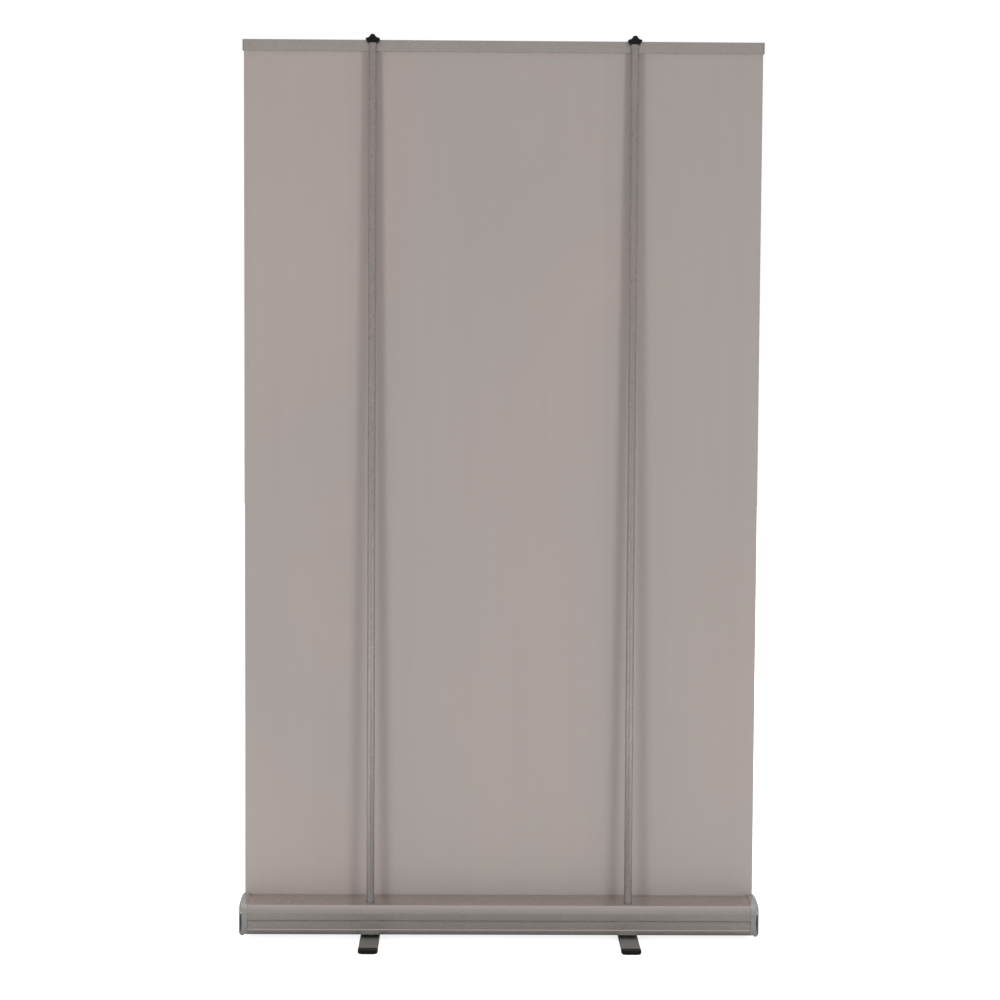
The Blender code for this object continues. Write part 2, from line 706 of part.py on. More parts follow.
def socket_axis_y():
    """Where the pole's axis meets the tray floor."""
    drop = POLE_BASE_Z - SOCKET_BOTTOM_Z
    return POLE_BASE_Y - drop * math.tan(POLE_LEAN)


def build_socket(side, sign, parent, plastic, steel):
    """The cup that holds a pole's foot, and the screw that fixes it to the tray."""
    along = 1 / math.cos(POLE_LEAN)
    bottom = (SOCKET_BOTTOM_Z - POLE_BASE_Z) * along
    top = (SOCKET_TOP_Z - POLE_BASE_Z) * along
    profile = [
        (0, bottom),
        (SOCKET_RADIUS, bottom),
        (SOCKET_RADIUS, top),
        (SOCKET_BORE, top),
        (SOCKET_BORE, -GAP),
        (0, -GAP),
    ]
    name = f"pole_socket_{side}"
    place = (sign * SUPPORT_X, POLE_BASE_Y, POLE_BASE_Z)
    socket = add_piece(
        name, turned_mesh(name, profile), plastic, parent, place, (-POLE_LEAN, 0, 0)
    )
    screw_place = (sign * SUPPORT_X, socket_axis_y(), 0)
    bore = rod_mesh(f"{name}_bore", SOCKET_SCREW_RADIUS + GAP, 10 * MM, 31 * MM, 16)
    cut(socket, add_cutter(f"{name}_bore", bore, parent, screw_place))
    head_top = TRAY_BOTTOM_Z - GAP
    screw = turned_mesh(
        f"socket_screw_{side}",
        [
            (0, head_top - 2.6 * MM),
            (3.2 * MM, head_top - 2.6 * MM),
            (4.5 * MM, head_top - 1.4 * MM),
            (4.5 * MM, head_top),
            (SOCKET_SCREW_RADIUS, head_top),
            (SOCKET_SCREW_RADIUS, 30 * MM),
            (0, 30 * MM),
        ],
        16,
    )
    add_piece(f"socket_screw_{side}", screw, steel, parent, screw_place)


def build_pole(side, frames, aluminium, steel, plastic, cord):
    """Three tubes joined by ferrules over an elastic cord, with a plug and a hook."""
    lower, middle, upper = frames
    tube_inner = POLE_RADIUS - POLE_WALL
    half_gap = GAP / 2
    plug = turned_mesh(
        f"pole_plug_{side}",
        [
            (0, 0),
            (POLE_RADIUS - 1.5 * MM, 0),
            (POLE_RADIUS, 1.5 * MM),
            (POLE_RADIUS, POLE_PLUG_FLANGE - GAP),
            (FERRULE_RADIUS, POLE_PLUG_FLANGE - GAP),
            (FERRULE_RADIUS, POLE_PLUG_DEPTH),
            (0, POLE_PLUG_DEPTH),
        ],
        24,
    )
    add_piece(f"pole_plug_{side}", plug, plastic, lower)
    spans = (
        ("lower", lower, POLE_PLUG_FLANGE, SECTION_LENGTH - half_gap),
        ("middle", middle, half_gap, SECTION_LENGTH - half_gap),
        ("upper", upper, half_gap, SECTION_LENGTH),
    )
    for place, frame, start, end in spans:
        name = f"pole_tube_{side}_{place}"
        add_piece(name, tube_mesh(name, POLE_RADIUS, tube_inner, start, end), aluminium, frame)
    for place, frame in (("lower", lower), ("upper", middle)):
        name = f"pole_ferrule_{side}_{place}"
        ferrule = tube_mesh(
            name, FERRULE_RADIUS, FERRULE_BORE,
            SECTION_LENGTH - FERRULE_REACH, SECTION_LENGTH + FERRULE_REACH, 24,
        )
        add_piece(name, ferrule, steel, frame)
    cord_mesh = rod_mesh(
        f"pole_cord_{side}", CORD_RADIUS, POLE_PLUG_DEPTH + GAP,
        POLE_LENGTH - POLE_PLUG_DEPTH - GAP, 8,
    )
    add_piece(f"pole_cord_{side}", cord_mesh, cord, lower)


def hook_outline():
    """Rear view of the hook: a wide saddle that rises to a central peak."""
    low, high = HOOK_WING
    right = [(HOOK_FOOT_HALF_WIDTH, -HOOK_SKIRT), (HOOK_HALF_WIDTH, low), (HOOK_HALF_WIDTH, high)]
    right += bend((HOOK_HALF_WIDTH - 2 * MM, high + 0.6 * MM), (8 * MM, high + 1.6 * MM),
                  (HOOK_PEAK_HALF_WIDTH + 2.4 * MM, HOOK_PEAK - 4 * MM), 4)
    right += bend((HOOK_PEAK_HALF_WIDTH + 2 * MM, HOOK_PEAK - 1.6 * MM),
                  (HOOK_PEAK_HALF_WIDTH, HOOK_PEAK), (HOOK_PEAK_HALF_WIDTH - 2 * MM, HOOK_PEAK), 3)
    left = [(-x, z) for x, z in reversed(right)]
    return right + left


def build_hook(side, upper, mat):
    """The hook that reaches over the rail's rear wall, plugged into the pole's top."""
    name = f"pole_hook_{side}"
    front = HOOK_FINGER_FRONT_Y - POLE_TOP_Y
    bm = profile_body(name, hook_outline(), front + HOOK_BACK)
    bmesh.ops.transform(bm, matrix=Matrix.Rotation(math.radians(90), 4, "Z"), verts=bm.verts)
    bmesh.ops.translate(bm, vec=(0, (front - HOOK_BACK) / 2, 0), verts=bm.verts)
    place = (0, 0, SECTION_LENGTH)
    level = (POLE_LEAN, 0, 0)
    rims = [e for e in bm.edges if abs(e.verts[0].co.y - e.verts[1].co.y) < 1e-6]
    bmesh.ops.bevel(bm, geom=rims, offset=0.8 * MM, segments=2, profile=0.5, affect="EDGES")
    hook = add_piece(name, finish_mesh(bm, name), mat, upper, place, level)
    wall = box_mesh(
        f"{name}_slot",
        (-0.03, RAIL_REAR_Y - POLE_TOP_Y - 0.4 * MM, -10 * MM),
        (0.03, RAIL_REAR_Y + RAIL_WALL - POLE_TOP_Y + 0.4 * MM, RAIL_TOP_Z - POLE_TOP_Z + 0.4 * MM),
    )
    cut(hook, add_cutter(f"{name}_slot", wall, upper, place, level))
    under = box_mesh(
        f"{name}_under",
        (-0.03, RAIL_REAR_Y - POLE_TOP_Y, -10 * MM),
        (0.03, 30 * MM, HOOK_FINGER_TIP),
    )
    cut(hook, add_cutter(f"{name}_under", under, upper, place, level))
    bore = rod_mesh(f"{name}_bore", POLE_RADIUS + GAP, -10 * MM, GAP, 32)
    cut(hook, add_cutter(f"{name}_bore", bore, upper, place))
    stem = rod_mesh(f"{name}_stem", FERRULE_RADIUS, -POLE_PLUG_DEPTH, 4 * MM, 24)
    fuse(hook, add_cutter(f"{name}_stem", stem, upper, place))
    weld(hook)


# ---------------------------------------------------------------- rail

def rail_body_outline():
    """Rear half of the rail: hook groove, hinge seat and rear clamp lip."""
    rear, wall = RAIL_REAR_Y, RAIL_WALL
    groove_front = RAIL_MID_Y
    seat = arc((JAW_Y, JAW_Z), JAW_BEAD + GAP, math.radians(60), math.radians(250), 9)
    crown = arc((JAW_Y, JAW_Z), JAW_SEAT_OUTER, math.radians(95), math.radians(60), 2)
    heel = arc((JAW_Y, JAW_Z), JAW_SEAT_OUTER, math.radians(250), math.radians(235), 1)
    return [
        (rear, RAIL_BOTTOM_Z),
        (rear, RAIL_TOP_Z),
        (rear + wall, RAIL_TOP_Z),
        (rear + wall, RAIL_GROOVE_Z),
        (groove_front, RAIL_GROOVE_Z),
        (groove_front, RAIL_TOP_Z - 1 * MM),
        (groove_front + 1 * MM, RAIL_TOP_Z),
        *crown,
        *seat,
        *heel,
        (groove_front + 1.6 * MM, JAW_Z - 5 * MM),
        (groove_front + 1.6 * MM, RAIL_GROOVE_Z - 1.6 * MM),
        (rear + wall, RAIL_GROOVE_Z - 1.6 * MM),
        (rear + wall, CLAMP_LIP_TOP_Z),
        (FILM_Y - FILM_THICKNESS / 2 - GAP, CLAMP_LIP_TOP_Z - 1.5 * MM),
        (FILM_Y - FILM_THICKNESS / 2 - GAP, RAIL_BOTTOM_Z),
    ]


def jaw_outline():
    """Front half of the rail, drawn about its hinge axis: bead, front skin and clamp lip."""
    bottom = RAIL_BOTTOM_Z - JAW_Z
    face = RAIL_FRONT_Y - JAW_Y
    film_face = FILM_Y + FILM_THICKNESS / 2 + GAP - JAW_Y
    bead = arc((0, 0), JAW_BEAD, math.radians(-70), math.radians(-320), 12)
    return [
        *bead[::-1],
        (bead[0][0], -3.4 * MM),
        (face - 1.6 * MM, -5 * MM),
        (face - 1.6 * MM, bottom + 3.6 * MM),
        (film_face, bottom + 4.4 * MM),
        (film_face, bottom),
        (face - 1 * MM, bottom),
        (face, bottom + 1 * MM),
        (face, -4 * MM),
    ]


def build_rail(frame, jaw_frame, aluminium, silver):
    """The two halves of the clamp rail and the rail's end caps."""
    section = local(rail_body_outline(), FILM_Y, RAIL_BOTTOM_Z)
    add_piece("rail_body", profile_mesh("rail_body", section, RAIL_LENGTH), aluminium, frame)
    jaw = profile_mesh("rail_jaw", jaw_outline(), RAIL_LENGTH)
    add_piece("rail_jaw", jaw, aluminium, jaw_frame)
    for side, sign in (("left", -1), ("right", 1)):
        name = f"rail_end_cap_{side}"
        plate = rail_cap_mesh(name)
        cap = add_piece(name, mirrored(plate, sign), silver, frame)
        peg = box_mesh(
            f"{name}_peg",
            (RAIL_LENGTH / 2 - 12 * MM, RAIL_REAR_Y + RAIL_WALL + GAP - FILM_Y,
             CLAMP_LIP_TOP_Z + 1 * MM - RAIL_BOTTOM_Z),
            (RAIL_LENGTH / 2 + 1.5 * MM, RAIL_MID_Y + 1 * MM - FILM_Y,
             RAIL_GROOVE_Z - 2 * MM - RAIL_BOTTOM_Z),
        )
        fuse(cap, add_cutter(f"{name}_peg", mirrored(peg, sign), frame))


def rail_cap_mesh(name):
    """A thin plate closing the rail's +X end, with softened corners."""
    inner = RAIL_LENGTH / 2 + GAP
    low = (inner, RAIL_REAR_Y - FILM_Y, 0)
    high = (inner + RAIL_END_CAP, RAIL_FRONT_Y - FILM_Y, RAIL_TOP_Z - RAIL_BOTTOM_Z)
    bm = box_body(low, high)
    edges = [e for e in bm.edges if abs(e.verts[0].co.x - e.verts[1].co.x) > 1 * MM]
    bmesh.ops.bevel(bm, geom=edges, offset=1.5 * MM, segments=3, profile=0.5, affect="EDGES")
    return finish_mesh(bm, name)


def local(outline, y, z):
    """An outline expressed about a frame at (y, z)."""
    return [(a - y, b - z) for a, b in outline]


# ---------------------------------------------------------------- assembly

def build_stand():
    """Put the whole stand together."""
    aluminium = make_material("satin_aluminium", (0.50, 0.47, 0.45), 0.35, 1.0)
    chrome = make_material("bright_silver_cap", (0.62, 0.61, 0.60), 0.12, 1.0)
    tube = make_material("anodised_tube", (0.36, 0.34, 0.34), 0.3, 1.0)
    foot = make_material("foot_profile", (0.40, 0.40, 0.39), 0.45, 0.9)
    black = make_material("black_plastic", (0.012, 0.012, 0.012), 0.42, 0.0)
    nylon = make_material("white_nylon", (0.75, 0.74, 0.70), 0.5, 0.0)
    steel = make_material("zinc_steel", (0.55, 0.55, 0.54), 0.35, 1.0)
    spring = make_material("spring_steel", (0.18, 0.17, 0.16), 0.4, 1.0)
    film = make_material("banner_film", (0.35, 0.31, 0.30), 0.62, 0.0)
    cord = make_material("elastic_cord", (0.03, 0.03, 0.03), 0.8, 0.0)

    stand = add_frame("stand", None, (0, 0, 0))
    build_cover(stand, aluminium)
    build_tray(stand, aluminium)
    build_shafts(stand, steel, nylon)
    build_spring(stand, spring)
    build_film(stand, film)
    roller = add_frame("roller_axis", stand, (0, ROLLER_Y, ROLLER_Z))
    build_roller(roller, aluminium, nylon, film)
    rail = add_frame("rail_frame", stand, (0, FILM_Y, RAIL_BOTTOM_Z))
    jaw = add_frame("rail_jaw_axis", rail, (0, JAW_Y - FILM_Y, JAW_Z - RAIL_BOTTOM_Z))
    build_rail(rail, jaw, aluminium, chrome)
    for side, sign in (("left", -1), ("right", 1)):
        build_cap(side, sign, stand, chrome)
        build_cap_screws(side, sign, stand, steel)
        place = (sign * SUPPORT_X, 0, 0)
        build_pivot(side, place, stand, steel)
        build_foot(side, add_frame(f"foot_axis_{side}", stand, place), foot, black)
        build_socket(side, sign, stand, black, steel)
        base = (sign * SUPPORT_X, POLE_BASE_Y, POLE_BASE_Z)
        lower = add_frame(f"pole_axis_{side}_lower", stand, base, POLE_LEAN)
        step = (0, 0, SECTION_LENGTH)
        middle = add_frame(f"pole_axis_{side}_middle", lower, step)
        upper = add_frame(f"pole_axis_{side}_upper", middle, step)
        build_pole(side, (lower, middle, upper), tube, steel, black, cord)
        build_hook(side, upper, black)


clear_scene()
bpy.context.scene.collection.children.link(COLLECTION)
bpy.context.scene.collection.children.link(CUTTERS)
build_stand()
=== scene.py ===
"""Looks for the roll-up banner stand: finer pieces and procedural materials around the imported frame."""
import json
import math

import bmesh
import bpy
from mathutils import Matrix, Vector, noise


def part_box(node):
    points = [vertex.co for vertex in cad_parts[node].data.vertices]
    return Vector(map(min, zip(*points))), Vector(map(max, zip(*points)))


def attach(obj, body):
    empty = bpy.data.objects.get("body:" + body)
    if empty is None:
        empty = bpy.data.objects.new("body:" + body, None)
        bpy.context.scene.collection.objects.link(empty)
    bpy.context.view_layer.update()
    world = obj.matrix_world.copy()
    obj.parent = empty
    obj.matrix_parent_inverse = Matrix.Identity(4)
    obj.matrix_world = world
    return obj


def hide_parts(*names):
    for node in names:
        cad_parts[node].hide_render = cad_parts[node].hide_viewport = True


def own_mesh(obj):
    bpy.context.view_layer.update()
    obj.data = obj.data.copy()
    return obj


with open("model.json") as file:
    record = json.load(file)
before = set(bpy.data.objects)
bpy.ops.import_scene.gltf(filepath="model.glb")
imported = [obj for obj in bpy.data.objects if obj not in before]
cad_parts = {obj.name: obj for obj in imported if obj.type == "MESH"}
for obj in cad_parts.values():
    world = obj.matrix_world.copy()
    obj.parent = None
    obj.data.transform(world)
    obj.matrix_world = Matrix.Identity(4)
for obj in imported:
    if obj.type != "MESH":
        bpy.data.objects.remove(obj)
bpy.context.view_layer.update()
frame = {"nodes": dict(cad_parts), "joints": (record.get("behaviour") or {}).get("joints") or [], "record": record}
NODES = frame["nodes"]
JOINTS = {joint["name"]: joint for joint in frame["joints"]}
MM = 0.001
SIDES = (("left", -1), ("right", 1))


# ---------------------------------------------------------------- materials

class Look:
    """A Principled material whose inputs are driven by procedural nodes in object coordinates."""

    def __init__(self, name, colour, roughness, metallic=0.0, **inputs):
        self.mat = bpy.data.materials.new(name)
        self.mat.use_nodes = True
        self.tree = self.mat.node_tree
        self.shader = self.tree.nodes["Principled BSDF"]
        self.coords = self.tree.nodes.new("ShaderNodeTexCoord").outputs["Object"]
        self.set("Base Color", (*colour, 1.0))
        self.set("Roughness", roughness)
        self.set("Metallic", metallic)
        for key, value in inputs.items():
            self.set(key.replace("_", " ").title().replace("Ior", "IOR"), value)

    def set(self, socket, value):
        self.shader.inputs[socket].default_value = value

    def link(self, source, socket):
        self.tree.links.new(source, self.shader.inputs[socket])

    def add(self, kind, inputs=None, **settings):
        """One node, its settings, and its inputs as values or as links."""
        node = self.tree.nodes.new(kind)
        for key, value in settings.items():
            setattr(node, key, value)
        for key, value in (inputs or {}).items():
            if isinstance(value, bpy.types.NodeSocket):
                self.tree.links.new(value, node.inputs[key])
            else:
                node.inputs[key].default_value = value
        return node

    def noise(self, scale, detail=3.0, roughness=0.5, distortion=0.0):
        """Noise stretched by a scale per axis, in cycles per metre; values 0 to 1."""
        place = self.add("ShaderNodeMapping", {"Vector": self.coords, "Scale": scale})
        inputs = {"Vector": place.outputs[0], "Scale": 1.0, "Detail": detail,
                  "Roughness": roughness, "Distortion": distortion}
        return self.add("ShaderNodeTexNoise", inputs).outputs[0]

    def fit(self, source, low, high, start=0.3, end=0.7):
        """A value remapped so that start..end becomes low..high, clamped."""
        inputs = {"Value": source, "From Min": start, "From Max": end, "To Min": low, "To Max": high}
        return self.add("ShaderNodeMapRange", inputs).outputs[0]

    def math(self, operation, a, b):
        return self.add("ShaderNodeMath", {0: a, 1: b}, operation=operation).outputs[0]

    def blend(self, factor, first, second):
        """A colour between two others."""
        mix = self.add("ShaderNodeMix", data_type="RGBA")
        for index, value in ((0, factor), (6, first), (7, second)):
            if isinstance(value, bpy.types.NodeSocket):
                self.tree.links.new(value, mix.inputs[index])
            else:
                mix.inputs[index].default_value = value if index == 0 else (*value, 1.0)
        return mix.outputs[2]

    def bump(self, height, distance, strength=1.0, under=None):
        inputs = {"Height": height, "Distance": distance, "Strength": strength}
        if under:
            inputs["Normal"] = under
        return self.add("ShaderNodeBump", inputs).outputs[0]


def shade(colour, factor):
    return tuple(channel * factor for channel in colour)


def drawn_metal(name, colour, roughness, along, metallic=1.0, spread=0.06, tint=(1.0, 1.0, 1.0)):
    """Extruded or drawn metal: fine lines along one axis, soft clouds, smudges and light wear."""
    look = Look(name, colour, roughness, metallic)
    lines = [1400.0, 1400.0, 1400.0]
    lines["XYZ".index(along)] = 6.0
    fine = look.noise(lines, 2.0, 0.6)
    clouds = look.noise((5.0, 5.0, 5.0), 4.0, 0.55, 0.4)
    smudge = look.noise((38.0, 38.0, 38.0), 5.0, 0.6, 0.8)
    worn = tuple(c * t for c, t in zip(shade(colour, 1 + spread), tint))
    base = look.blend(look.fit(clouds, 0.0, 1.0), shade(colour, 1 - spread), worn)
    base = look.blend(look.fit(fine, 0.0, 0.25), base, shade(colour, 0.9))
    look.link(base, "Base Color")
    rough = look.fit(fine, roughness - 0.05, roughness + 0.06)
    rough = look.math("ADD", rough, look.fit(smudge, -0.03, 0.05, 0.35, 0.75))
    look.link(rough, "Roughness")
    look.link(look.bump(fine, 0.00003, 0.35), "Normal")
    return look.mat


def moulded_plastic(name, colour, roughness, grain=900.0, depth=0.00006):
    """Moulded plastic: fine spark-eroded grain, faint flow marks and pale scuffs."""
    look = Look(name, colour, roughness, specular_ior_level=0.2)
    flow = look.noise((22.0, 22.0, 22.0), 4.0, 0.6, 0.5)
    speck = look.noise((grain, grain, grain), 2.0, 0.6)
    scuff = look.noise((60.0, 240.0, 240.0), 6.0, 0.7, 0.3)
    base = look.blend(look.fit(flow, 0.0, 1.0), shade(colour, 0.85), shade(colour, 1.2))
    lifted = tuple(min(1.0, channel * 1.4 + 0.03) for channel in colour)
    base = look.blend(look.fit(scuff, 0.0, 0.55, 0.62, 0.74), base, lifted)
    look.link(base, "Base Color")
    look.link(look.fit(flow, roughness - 0.06, roughness + 0.08), "Roughness")
    look.link(look.bump(speck, depth, 0.6), "Normal")
    return look.mat


def bright_cap():
    """Bright metallised plastic: near-mirror, with a soft orange-peel and finger smudges."""
    colour = (0.66, 0.655, 0.64)
    look = Look("bright_cap_finish", colour, 0.14, 1.0, coat_weight=0.3, coat_roughness=0.06)
    peel = look.noise((160.0, 160.0, 160.0), 2.0, 0.5)
    smudge = look.noise((30.0, 30.0, 30.0), 5.0, 0.62, 1.0)
    specks = look.noise((700.0, 700.0, 700.0), 2.0, 0.7)
    base = look.blend(look.fit(smudge, 0.0, 1.0), shade(colour, 0.93), shade(colour, 1.05))
    look.link(base, "Base Color")
    speckled = look.fit(specks, 0.0, 0.08, 0.6, 0.8)
    rough = look.math("ADD", look.fit(smudge, 0.11, 0.24, 0.4, 0.75), speckled)
    look.link(rough, "Roughness")
    look.link(look.bump(peel, 0.0004, 0.05), "Normal")
    return look.mat


def film_back():
    """The plain grey back of the film: fine matt grain, faint roller streaks and soft tone changes."""
    colour = (0.372, 0.328, 0.313)
    look = Look("film_back_finish", colour, 0.6, specular_ior_level=0.35, sheen_weight=0.04)
    tone = look.noise((1.6, 1.0, 0.9), 3.0, 0.5, 0.6)
    streak = look.noise((34.0, 1.0, 0.5), 3.0, 0.5)
    grain = look.noise((2600.0, 2600.0, 2600.0), 2.0, 0.6)
    weave = look.noise((420.0, 420.0, 420.0), 3.0, 0.6)
    cool, warm = (0.352, 0.322, 0.309), (0.388, 0.336, 0.320)
    base = look.blend(look.fit(tone, 0.0, 1.0), cool, warm)
    base = look.blend(look.fit(streak, 0.0, 0.22), base, shade(colour, 0.9))
    base = look.blend(look.fit(weave, 0.0, 0.12), base, shade(colour, 1.12))
    look.link(base, "Base Color")
    look.link(look.fit(weave, 0.54, 0.66), "Roughness")
    lower = look.bump(streak, 0.0006, 0.12)
    look.link(look.bump(grain, 0.00004, 0.5, lower), "Normal")
    return look.mat


def film_front():
    """The blank printable face of the film: white with a soft satin grain."""
    look = Look("film_front_finish", (0.83, 0.82, 0.8), 0.48, specular_ior_level=0.4)
    tone = look.noise((1.4, 1.0, 0.8), 3.0, 0.5, 0.5)
    grain = look.noise((1800.0, 1800.0, 1800.0), 2.0, 0.6)
    ripple = look.noise((26.0, 1.0, 0.6), 3.0, 0.5)
    base = look.blend(look.fit(tone, 0.0, 1.0), (0.81, 0.8, 0.775), (0.86, 0.85, 0.835))
    look.link(base, "Base Color")
    look.link(look.fit(grain, 0.42, 0.54), "Roughness")
    lower = look.bump(ripple, 0.0006, 0.12)
    look.link(look.bump(grain, 0.00003, 0.45, lower), "Normal")
    return look.mat


def braided_cord():
    """Black braided elastic with a pale fleck in its crossing threads."""
    look = Look("cord_finish", (0.03, 0.03, 0.03), 0.8, sheen_weight=0.2)
    heights = []
    for tilt in (0.7, -0.7):
        turn = look.add("ShaderNodeMapping", {"Vector": look.coords, "Rotation": (tilt, 0, tilt)})
        wave = look.add("ShaderNodeTexWave", {"Vector": turn.outputs[0], "Scale": 260.0})
        heights.append(wave.outputs[1])
    weave = look.math("MAXIMUM", *heights)
    thread = look.fit(weave, 0.0, 1.0, 0.2, 0.95)
    look.link(look.blend(thread, (0.012, 0.012, 0.012), (0.06, 0.06, 0.065)), "Base Color")
    look.link(look.bump(weave, 0.0002, 0.6), "Normal")
    return look.mat


ALUMINIUM = (0.665, 0.615, 0.59)
LOOKS = {
    "satin_aluminium": drawn_metal("cassette_finish", ALUMINIUM, 0.3, "X", spread=0.03),
    "bright_silver_cap": bright_cap(),
    "anodised_tube": drawn_metal("pole_finish", (0.54, 0.51, 0.495), 0.3, "Z", spread=0.04),
    "foot_profile": drawn_metal("foot_finish", (0.49, 0.505, 0.492), 0.36, "Y", spread=0.06),
    "black_plastic": moulded_plastic("black_finish", (0.007, 0.007, 0.007), 0.45),
    "white_nylon": moulded_plastic("nylon_finish", (0.72, 0.7, 0.64), 0.5, 500.0),
    "zinc_steel": drawn_metal("zinc_finish", (0.56, 0.57, 0.56), 0.32, "Z", tint=(0.98, 1.0, 1.04)),
    "spring_steel": drawn_metal("spring_finish", (0.17, 0.16, 0.15), 0.38, "X"),
    "banner_film": film_back(),
    "elastic_cord": braided_cord(),
}
FILM_FRONT = film_front()


# ---------------------------------------------------------------- outlines in the YZ plane

def arc(centre, radius, start, end, steps):
    angles = [start + (end - start) * i / steps for i in range(steps + 1)]
    return [(centre[0] + radius * math.cos(a), centre[1] + radius * math.sin(a)) for a in angles]


def bend(start, control, end, steps):
    """A quadratic curve, both ends included."""
    points = []
    for i in range(steps + 1):
        t = i / steps
        weights = ((1 - t) ** 2, 2 * t * (1 - t), t * t)
        points.append(tuple(sum(w * p[k] for w, p in zip(weights, (start, control, end)))
                            for k in (0, 1)))
    return points


def offset_path(points, distance, closed=False):
    """Shift a path to its left by distance, keeping its corners mitred."""
    shifted, count = [], len(points)
    for i, point in enumerate(points):
        near = []
        if closed or i > 0:
            near.append((points[i - 1], point))
        if closed or i < count - 1:
            near.append((point, points[(i + 1) % count]))
        normals = []
        for a, b in near:
            step = (Vector(b) - Vector(a)).normalized()
            normals.append(Vector((-step.y, step.x)))
        miter = sum(normals, Vector((0, 0))).normalized()
        reach = distance / miter.dot(normals[0])
        shifted.append((point[0] + miter.x * reach, point[1] + miter.y * reach))
    return shifted


def soften(points, radius, steps=3, corner=math.radians(24)):
    """Round the sharp corners of a closed outline; gentle ones are left alone."""
    result, count = [], len(points)
    for i, point in enumerate(points):
        here = Vector(point)
        back, ahead = Vector(points[i - 1]) - here, Vector(points[(i + 1) % count]) - here
        turn = math.pi - back.angle(ahead, math.pi)
        if turn < corner:
            result.append(point)
            continue
        reach = min(radius * math.tan(turn / 2), back.length * 0.45, ahead.length * 0.45)
        result += bend(tuple(here + back.normalized() * reach), point,
                       tuple(here + ahead.normalized() * reach), steps)
    return result


# ---------------------------------------------------------------- mesh builders

def to_object(name, bm, mats, sharp=32.0):
    """A finished object in the row frame, smooth with sharp edges kept."""
    bmesh.ops.remove_doubles(bm, verts=bm.verts, dist=1e-6)
    bmesh.ops.recalc_face_normals(bm, faces=bm.faces)
    mesh = bpy.data.meshes.new(name)
    bm.to_mesh(mesh)
    bm.free()
    for mat in mats:
        mesh.materials.append(mat)
    mesh.shade_smooth()
    mesh.set_sharp_from_angle(angle=math.radians(sharp))
    obj = bpy.data.objects.new(name, mesh)
    bpy.context.scene.collection.objects.link(obj)
    return obj


def loft(rings, closed=True):
    """A bmesh skin through rings of equal length, with its two ends filled."""
    bm = bmesh.new()
    rows = [[bm.verts.new(point) for point in ring] for ring in rings]
    count = len(rows[0])
    pairs = list(zip(rows, rows[1:])) + ([] if closed else [(rows[-1], rows[0])])
    for low, high in pairs:
        for i in range(count):
            j = (i + 1) % count
            bm.faces.new((low[i], low[j], high[j], high[i]))
    if closed:
        bm.faces.new(rows[0][::-1])
        bm.faces.new(rows[-1])
    return bm


def prism(outline, stations):
    """A solid along X with the given YZ outline and a ring at each station."""
    return loft([[(x, y, z) for y, z in outline] for x in stations])


def turned(profile, segments=64, place=Matrix.Identity(4), hollow=False):
    """A body of revolution about Z from (radius, height) points, put in place."""
    bm = bmesh.new()
    verts = [bm.verts.new((radius, 0.0, height)) for radius, height in profile]
    edges = [bm.edges.new(pair) for pair in zip(verts, verts[1:])]
    if hollow:
        edges.append(bm.edges.new((verts[-1], verts[0])))
    bmesh.ops.spin(bm, geom=verts + edges, cent=(0, 0, 0), axis=(0, 0, 1),
                   angle=math.tau, steps=segments)
    bmesh.ops.remove_doubles(bm, verts=bm.verts, dist=1e-6)
    bmesh.ops.transform(bm, matrix=place, verts=bm.verts)
    return bm


def rounded_box(low, high, radius, segments=3):
    """A box with all its edges rounded."""
    bm = bmesh.new()
    bmesh.ops.create_cube(bm, size=1.0)
    low, high = Vector(low), Vector(high)
    bmesh.ops.scale(bm, vec=high - low, verts=bm.verts)
    bmesh.ops.translate(bm, vec=(high + low) / 2, verts=bm.verts)
    bmesh.ops.bevel(bm, geom=bm.edges[:], offset=radius, segments=segments, profile=0.5,
                    affect="EDGES")
    return bm


def carve(obj, operation, bm):
    """Apply one exact Boolean to an object."""
    tool = to_object("tool", bm, [])
    modifier = obj.modifiers.new("carve", "BOOLEAN")
    modifier.operation, modifier.object = operation, tool
    graph = bpy.context.evaluated_depsgraph_get()
    mesh = bpy.data.meshes.new_from_object(obj.evaluated_get(graph))
    obj.modifiers.clear()
    obj.data = mesh
    bpy.data.objects.remove(tool, do_unlink=True)


def settle(obj, sharp=32.0):
    """Clean up after carving: merge slivers and set the shading again."""
    bm = bmesh.new()
    bm.from_mesh(obj.data)
    bmesh.ops.remove_doubles(bm, verts=bm.verts, dist=0.00002)
    bmesh.ops.dissolve_degenerate(bm, edges=bm.edges, dist=0.000005)
    bm.to_mesh(obj.data)
    bm.free()
    obj.data.shade_smooth()
    obj.data.set_sharp_from_angle(angle=math.radians(sharp))


def place_piece(obj, body, slot, *nodes):
    """Ride a CAD body and stand for CAD nodes; flat faces stay flat beside their radii. The slot argument is not
    used.
    """
    obj.modifiers.new("flat_faces", "WEIGHTED_NORMAL").keep_sharp = True
    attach(obj, body)
    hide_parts(*nodes)
    return obj


# ---------------------------------------------------------------- cassette

cover_low, cover_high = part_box("cassette_cover")
tray_low, tray_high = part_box("base_tray")
SHOULDER = (-21 * MM, 62 * MM)
SHOULDER_RADIUS = SHOULDER[0] - cover_low.y
CREASE = math.radians(138)
CROWN = (-6 * MM, 91 * MM)
COVER_WALL = 1.8 * MM
TRAY_WALL = 2 * MM
FRONT_SHOULDER_Z = 72 * MM
SLOT_REAR = cover_high.y
SLOT_FRONT = 33.9 * MM
SLOT_Z = tray_high.z
RIM_Z = cover_low.z - 2.6 * MM            # top of the tray's rear wall, under a dark groove
CAP_GROW = 2.6 * MM                       # how far a cap stands outside the cassette
CAP_DOME = 9 * MM
CAP_PLATE = 4.7 * MM
CAP_FLOOR_X = 597 * MM                    # inward of this a cap has no underside
CAP_LIP = 0.02                            # how far a cap's cutters reach past its open end
POLE_HOLE = 9.9 * MM
